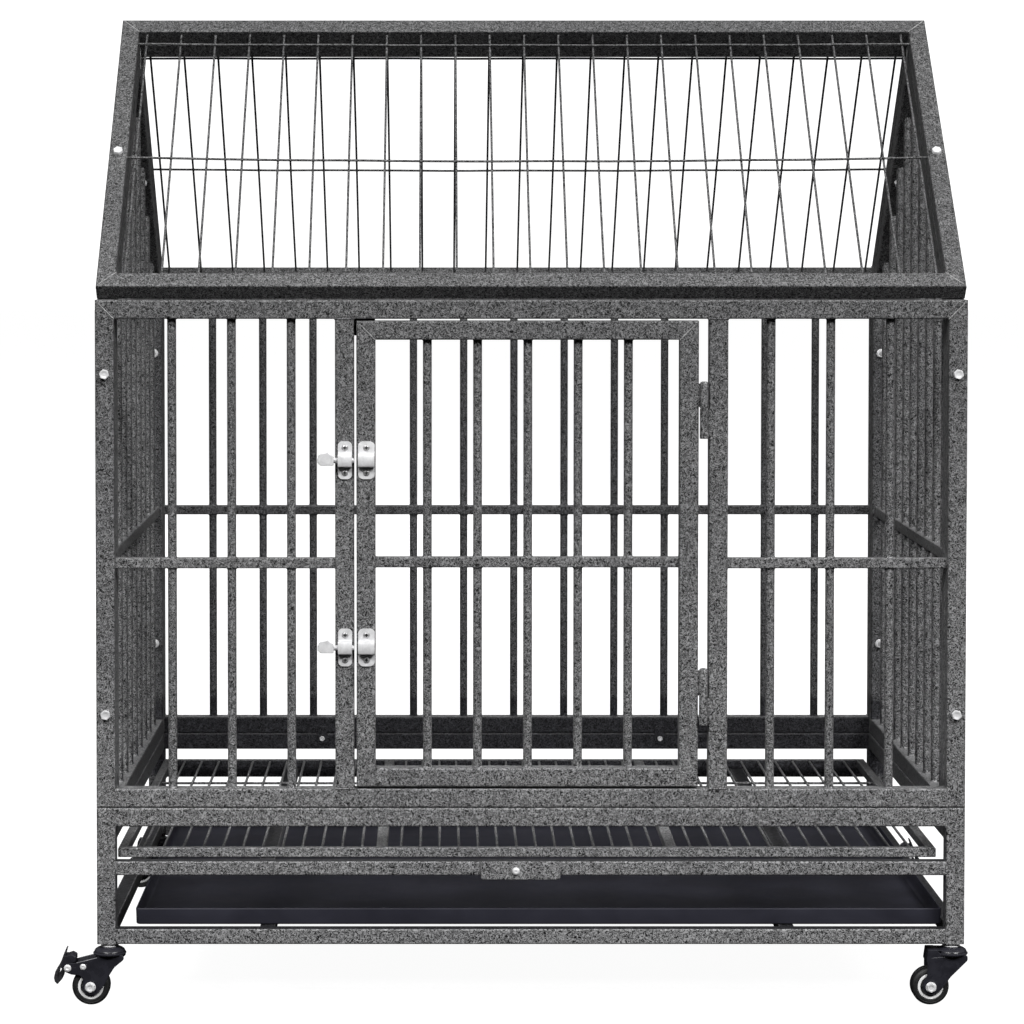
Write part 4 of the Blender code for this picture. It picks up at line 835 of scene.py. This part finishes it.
# ---- castors ------------------------------------------------------------------------------------
def castor(tag, sx, is_front, t, braked):
    cx = sx * CASTOR_X
    cy = CASTOR_Y if is_front else DEPTH - CASTOR_Y
    top = STAND_Z - GAP
    trail = TRAIL_BRAKED if braked else TRAIL
    body = f"castor_{tag}_swivel"
    ax, az = cx + t * trail, WHEEL_R
    z1 = top - 3.2 - GAP
    z0 = z1 - 9.0

    p = Piece(f"vis_castor_{tag}_stem")
    hex_head(p, (cx, cy, top - 2.2), (0, 0, 1), 7.6, 2.1, 0.2)
    p.use(ZINC).lathe((cx, cy, top - 3.2), (0, 0, 1), [(9.0, 0), (9.4, 0.2), (9.4, 0.8), (9.0, 1.1)], 30)
    p.use(SCREW).rod((cx, cy, top - 12), (cx, cy, top + 8), 4.0, 16)
    p.done("frame", "zinc_plate", f"castor_{tag}_stem")

    def at(points):
        return [(cx + t * u, v) for u, v in points]

    p = Piece(f"vis_castor_{tag}_fork")
    # ball race: a domed upper cap over a lipped lower cup
    p.use(FORK).lathe((cx, cy, z0), (0, 0, 1), [(4.6, 0.2), (15.4, 0.2), (16.6, 0.7), (17.5, 1.6), (17.55, 2.6), (16.9, 3.2), (16.2, 3.5), (16.0, 4.0),
                                               (16.3, 4.6), (15.6, 5.9), (13.6, 7.3), (11.0, 8.4), (8.4, 8.95), (4.6, 9.0)], 48, closed=True)
    if braked:
        shape = [(-15.4, 54.0), (-16.2, 49.6), (-5.9, 41.0), (-0.1, 31.9), (5.0, 21.5), (12.0, 13.0), (19.5, 10.4), (26.0, 13.4), (27.4, 20.0),
                 (27.2, 29.0), (31.0, 32.6), (39.7, 33.5), (46.2, 36.2), (48.2, 40.6), (46.2, 44.8), (34.5, 46.0), (15.0, 51.0), (9.0, 54.0)]
        radii = [2, 3, 6, 12, 8, 8, 9, 7, 6, 3.5, 3, 5, 5, 4, 4, 8, 6, 2]
        slab = [(14.0, 50.7), (34.2, 45.8), (34.0, 44.4), (14.0, 49.3)]
    else:
        shape = [(-15.6, 54.0), (-16.0, 48.8), (2.5, 30.5), (9.5, 20.2), (15.0, 14.8), (22.5, 12.8), (28.8, 15.4), (31.6, 20.0), (30.8, 25.5),
                 (27.0, 32.0), (27.0, 45.5), (28.0, 47.2), (26.2, 59.8), (17.2, 59.8), (12.0, 54.5)]
        radii = [2, 4, 14, 8, 8, 8, 7, 6, 5, 5, 2, 2, 1.2, 1.5, 1]
        slab = [(10.0, 59.6), (26.0, 59.6), (27.8, 47.4), (26.4, 47.4), (24.8, 58.2), (10.0, 58.2)]
    pts = rounded(at(shape), radii, 5)
    for s in (-1, 1):
        lo, hi = sorted((cy + s * 10.5, cy + s * 12.5))
        p.use(FORK).plate(pts, lo, hi, 1, 0.45)
        # pressed ring round the axle
        p.use(FORK).lathe((ax, cy + s * 12.3, az), (0, s, 0), [(8.2, 0), (8.0, 0.3), (7.3, 0.5), (6.2, 0.4), (5.6, 0.4)], 36)
    p.use(FORK).plate(rounded(at(slab), 0.5, 3), cy - 11.6, cy + 11.6, 1, 0.3)
    if braked:
        # rolled edge along the cheek's upper side, coated pale as a painted highlight, and the rivet of the brake
        # spring
        for s in (-1, 1):
            p.use(EDGE_HIGHLIGHT).sweep([(cx + t * u, cy + s * 12.15, v) for u, v in ((12.6, 51.35), (15.0, 50.75), (24.6, 48.25), (34.0, 45.9))], 0.5, 8)
            p.use(ZINC).lathe((cx + t * 27.2, cy + s * 12.3, 41.8), (0, s, 0), [(3.3, 0), (3.3, 0.4), (2.7, 1.0), (1.3, 1.25), (1.0, 0.7), (0.3, 0.6)], 24)
    else:
        # pale line along the cheek's rolled edge: a painted highlight
        for s in (-1, 1):
            p.use(EDGE_HIGHLIGHT).sweep([(cx + t * u, cy + s * 12.15, v) for u, v in ((-8.0, 51.9), (4.0, 52.1), (14.0, 52.0), (22.6, 51.0))], 0.42, 8)
    p.done(body, "black_fork_paint", f"castor_{tag}_fork")

    p = Piece(f"vis_castor_{tag}_axle")
    for s in (-1, 1):
        washer(p, (ax, cy + s * 12.7, az), (0, s, 0), 5.8, 0.7)
        hex_head(p, (ax, cy + s * 13.2, az), (0, s, 0), 5.3, 2.9, 1.0, turn=0.5)
    p.use(SCREW).rod((ax, cy - 13.4, az), (ax, cy + 13.4, az), 3.0, 14)
    p.done(body, "zinc_plate", f"castor_{tag}_axle")

    wheel = f"castor_{tag}_wheel"

    def section(profile, mat):
        """Closed ring of the wheel, turned round the axle."""
        p.use(mat).lathe((ax, cy, az), (0, 1, 0), profile, 56, closed=True)
    p = Piece(f"vis_castor_{tag}_wheel")
    section([(3.2, -9.9), (6.2, -9.9), (6.9, -9.2), (7.3, -7.6), (10.6, -7.3), (10.6, 7.3), (7.3, 7.6), (6.9, 9.2), (6.2, 9.9), (3.2, 9.9)], HUB)
    section([(10.5, -8.0), (10.9, -9.0), (11.6, -9.3), (13.2, -9.3), (13.6, -8.8), (13.6, 8.8), (13.2, 9.3), (11.6, 9.3), (10.9, 9.0), (10.5, 8.0)], RIM)
    for k in range(6):
        a = 2 * math.pi * k / 6
        ca, sa = math.cos(a), math.sin(a)
        q = [(ax + ca * 6.6 - sa * 0.9, az + sa * 6.6 + ca * 0.9), (ax + ca * 6.6 + sa * 0.9, az + sa * 6.6 - ca * 0.9),
             (ax + ca * 10.8 + sa * 0.9, az + sa * 10.8 - ca * 0.9), (ax + ca * 10.8 - sa * 0.9, az + sa * 10.8 + ca * 0.9)]
        p.use(HUB).plate(q, cy - 8.6, cy + 8.6, 1, 0.2)
    p.done(wheel, "light_grey_nylon", f"castor_{tag}_wheel")
    p = Piece(f"vis_castor_{tag}_tyre")
    R = WHEEL_R
    section([(13.5, -8.6), (14.4, -9.1), (16.2, -9.0), (16.6, -8.7), (17.0, -8.9), (18.4, -8.3), (19.5, -7.2), (R, -5.6), (R, -2.6), (R - 0.25, -2.4),
             (R - 0.25, -2.0), (R, -1.8), (R, 1.8), (R - 0.25, 2.0), (R - 0.25, 2.4), (R, 2.6), (R, 5.6), (19.5, 7.2), (18.4, 8.3), (17.0, 8.9),
             (16.6, 8.7), (16.2, 9.0), (14.4, 9.1), (13.5, 8.6)], RUBBER)
    p.done(wheel, "black_rubber", f"castor_{tag}_tyre")
    if braked:
        bx, bz = cx + t * BRAKE_U, BRAKE_Z
        p = Piece(f"vis_castor_{tag}_pedal")
        # bent pedal plate: blade tip, bend and foot
        line = [(1.6, 19.6), (3.6, 14.0), (5.6, 7.6), (8.4, 1.0), (11.8, -5.2), (12.9, -11.0), (12.4, -14.6), (10.9, -17.6)]
        rings = []
        for i, (u, v) in enumerate(line):
            a, b = line[max(i - 1, 0)], line[min(i + 1, len(line) - 1)]
            tan = Vector((b[0] - a[0], b[1] - a[1])).normalized()
            nrm = Vector((-tan.y, tan.x))
            th = (0.6, 0.9, 1.1, 1.4, 1.8, 2.0, 1.7, 0.8)[i]
            wd = (6.6, 8.6, 9.6, 9.9, 10.0, 10.0, 9.8, 8.6)[i]
            ring = []
            for q, s in ((-wd, -th * 0.5), (-wd + 0.5, -th), (wd - 0.5, -th), (wd, -th * 0.5), (wd, th * 0.5), (wd - 0.5, th), (-wd + 0.5, th), (-wd, th * 0.5)):
                ring.append(Vector((bx + t * (u + nrm.x * s), cy + q, bz + v + nrm.y * s)))
            rings.append(ring)
        p.use(PEDAL).loft(rings)
        # inner leg of the foot
        leg = rounded([(bx + t * u, bz + v) for u, v in ((3.6, -3.4), (6.4, -2.6), (10.4, -8.6), (11.6, -15.8), (9.6, -16.4), (6.0, -12.2))], 1.4, 3)
        p.use(PEDAL).plate(leg, cy - 8.6, cy + 8.6, 1, 0.4)
        # cam block between the cheeks, on the pin
        cam = rounded([(bx + t * u, bz + v) for u, v in ((4.2, -3.4), (-1.4, -3.6), (-3.6, -1.0), (-4.2, 4.6), (-8.2, 6.4), (-8.2, 11.4), (-4.0, 13.8),
                                                        (0.6, 12.2), (3.6, 12.4), (6.8, 4.6), (8.2, 0.6))], 1.0, 3)
        p.use(FORK).plate(cam, cy - 9.8, cy + 9.8, 1, 0.4)
        for s in (-1, 1):
            p.use(ZINC).lathe((bx, cy + s * 9.6, bz), (0, s, 0), [(2.5, 0), (2.5, 3.3), (3.9, 3.4), (3.9, 3.7), (3.2, 4.3), (1.6, 4.55), (1.1, 4.1), (0.3, 4.0)], 24)
        p.done(f"castor_{tag}_pedal", "black_pedal_plastic", f"castor_{tag}_pedal")


castor("front_left", -1, True, -1, True)
castor("front_right", 1, True, -1, False)
castor("rear_left", -1, False, -1, False)
castor("rear_right", 1, False, 1, True)

# ---- floor, light, camera ---------------------------------------------------------
n = Nodes("pale floor")
n.feed("Base Color", n.ramp(n.noise(0.6, 2.0), [(0.3, (0.17, 0.17, 0.17)), (0.7, (0.18, 0.18, 0.18))]))
n.set(Roughness=0.9)
n.set(Emission_Color=(1, 1, 1, 1), Emission_Strength=0.96)
bm = bmesh.new()
bmesh.ops.create_grid(bm, x_segments=1, y_segments=1, size=30.0)
mesh = bpy.data.meshes.new("floor")
bm.to_mesh(mesh)
bm.free()
mesh.materials.append(n.mat)
floor = bpy.data.objects.new("floor", mesh)
bpy.context.scene.collection.objects.link(floor)
floor.visible_diffuse = False
floor.visible_glossy = False

# Studio surround: white to the camera, and as light a bright ceiling that falls
# off to a dark floor, so faces turned down stay dark.
world = bpy.data.worlds.new("studio")
bpy.context.scene.world = world
world.use_nodes = True
tree = world.node_tree
bg = tree.nodes["Background"]
out = tree.nodes["World Output"]
bg.inputs["Color"].default_value = (1, 1, 1, 1)
bg.inputs["Strength"].default_value = 1.25
coord = tree.nodes.new("ShaderNodeTexCoord")
split = tree.nodes.new("ShaderNodeSeparateXYZ")
tree.links.new(coord.outputs["Generated"], split.inputs["Vector"])
fall = tree.nodes.new("ShaderNodeValToRGB")
stops = [(0.0, 0.006), (0.50, 0.015), (0.60, 0.06), (0.75, 0.2), (1.0, 0.36)]
e = fall.color_ramp.elements
while len(e) < len(stops):
    e.new(0.5)
for el, (pos, v) in zip(e, stops):
    el.position = pos
    el.color = (v, v, v, 1)
span = tree.nodes.new("ShaderNodeMapRange")
span.inputs["From Min"].default_value = -1.0
tree.links.new(split.outputs["Z"], span.inputs["Value"])
tree.links.new(span.outputs["Result"], fall.inputs["Fac"])
sky = tree.nodes.new("ShaderNodeBackground")
tree.links.new(fall.outputs["Color"], sky.inputs["Color"])
sky.inputs["Strength"].default_value = 0.7
path = tree.nodes.new("ShaderNodeLightPath")
pick = tree.nodes.new("ShaderNodeMixShader")
tree.links.new(path.outputs["Is Camera Ray"], pick.inputs["Fac"])
tree.links.new(sky.outputs["Background"], pick.inputs[1])
tree.links.new(bg.outputs["Background"], pick.inputs[2])
tree.links.new(pick.outputs["Shader"], out.inputs["Surface"])


def area(name, place, target, size, power, gloss=True):
    light = bpy.data.lights.new(name, "AREA")
    light.shape = "RECTANGLE"
    light.size, light.size_y = size
    light.energy = power
    obj = bpy.data.objects.new(name, light)
    obj.location = place
    obj.rotation_mode = "QUATERNION"
    obj.rotation_quaternion = (Vector(target) - Vector(place)).to_track_quat("-Z", "Y")
    obj.visible_glossy = gloss
    bpy.context.scene.collection.objects.link(obj)


area("key", (-2.4, -4.4, 4.7), (0, 0, 0.5), (3.0, 1.6), 290)
area("fill", (3.2, -4.1, 4.5), (0, 0, 0.5), (2.6, 1.6), 340)
area("top", (0, 0.6, 4.2), (0, 0, 0.5), (2.4, 1.8), 8)
# for the sides and the back, which the two front lights don't reach
area("left side", (-5.2, 0.9, 2.6), (0, 0, 0.5), (2.6, 2.0), 65, False)
area("right side", (5.2, 0.9, 2.6), (0, 0, 0.5), (2.6, 2.0), 65, False)
area("rear", (0.0, 5.6, 2.6), (0, 0, 0.5), (3.0, 1.8), 230, False)

cam_data = bpy.data.cameras.new("camera")
cam = bpy.data.objects.new("camera", cam_data)
bpy.context.scene.collection.objects.link(cam)
bpy.context.scene.camera = cam
cam_data.sensor_width = 36.0
cam_data.lens = 110.68
cam_data.clip_start, cam_data.clip_end = 0.1, 60.0
cam.location = (-0.0987, FRONT_Y * MM - 3.314, 0.8192)
cam.rotation_euler = (math.radians(90 - 2.1), 0, 0)
cam_data.shift_x, cam_data.shift_y = 0.0726, -0.1595
bpy.context.scene.view_settings.view_transform = "Standard"
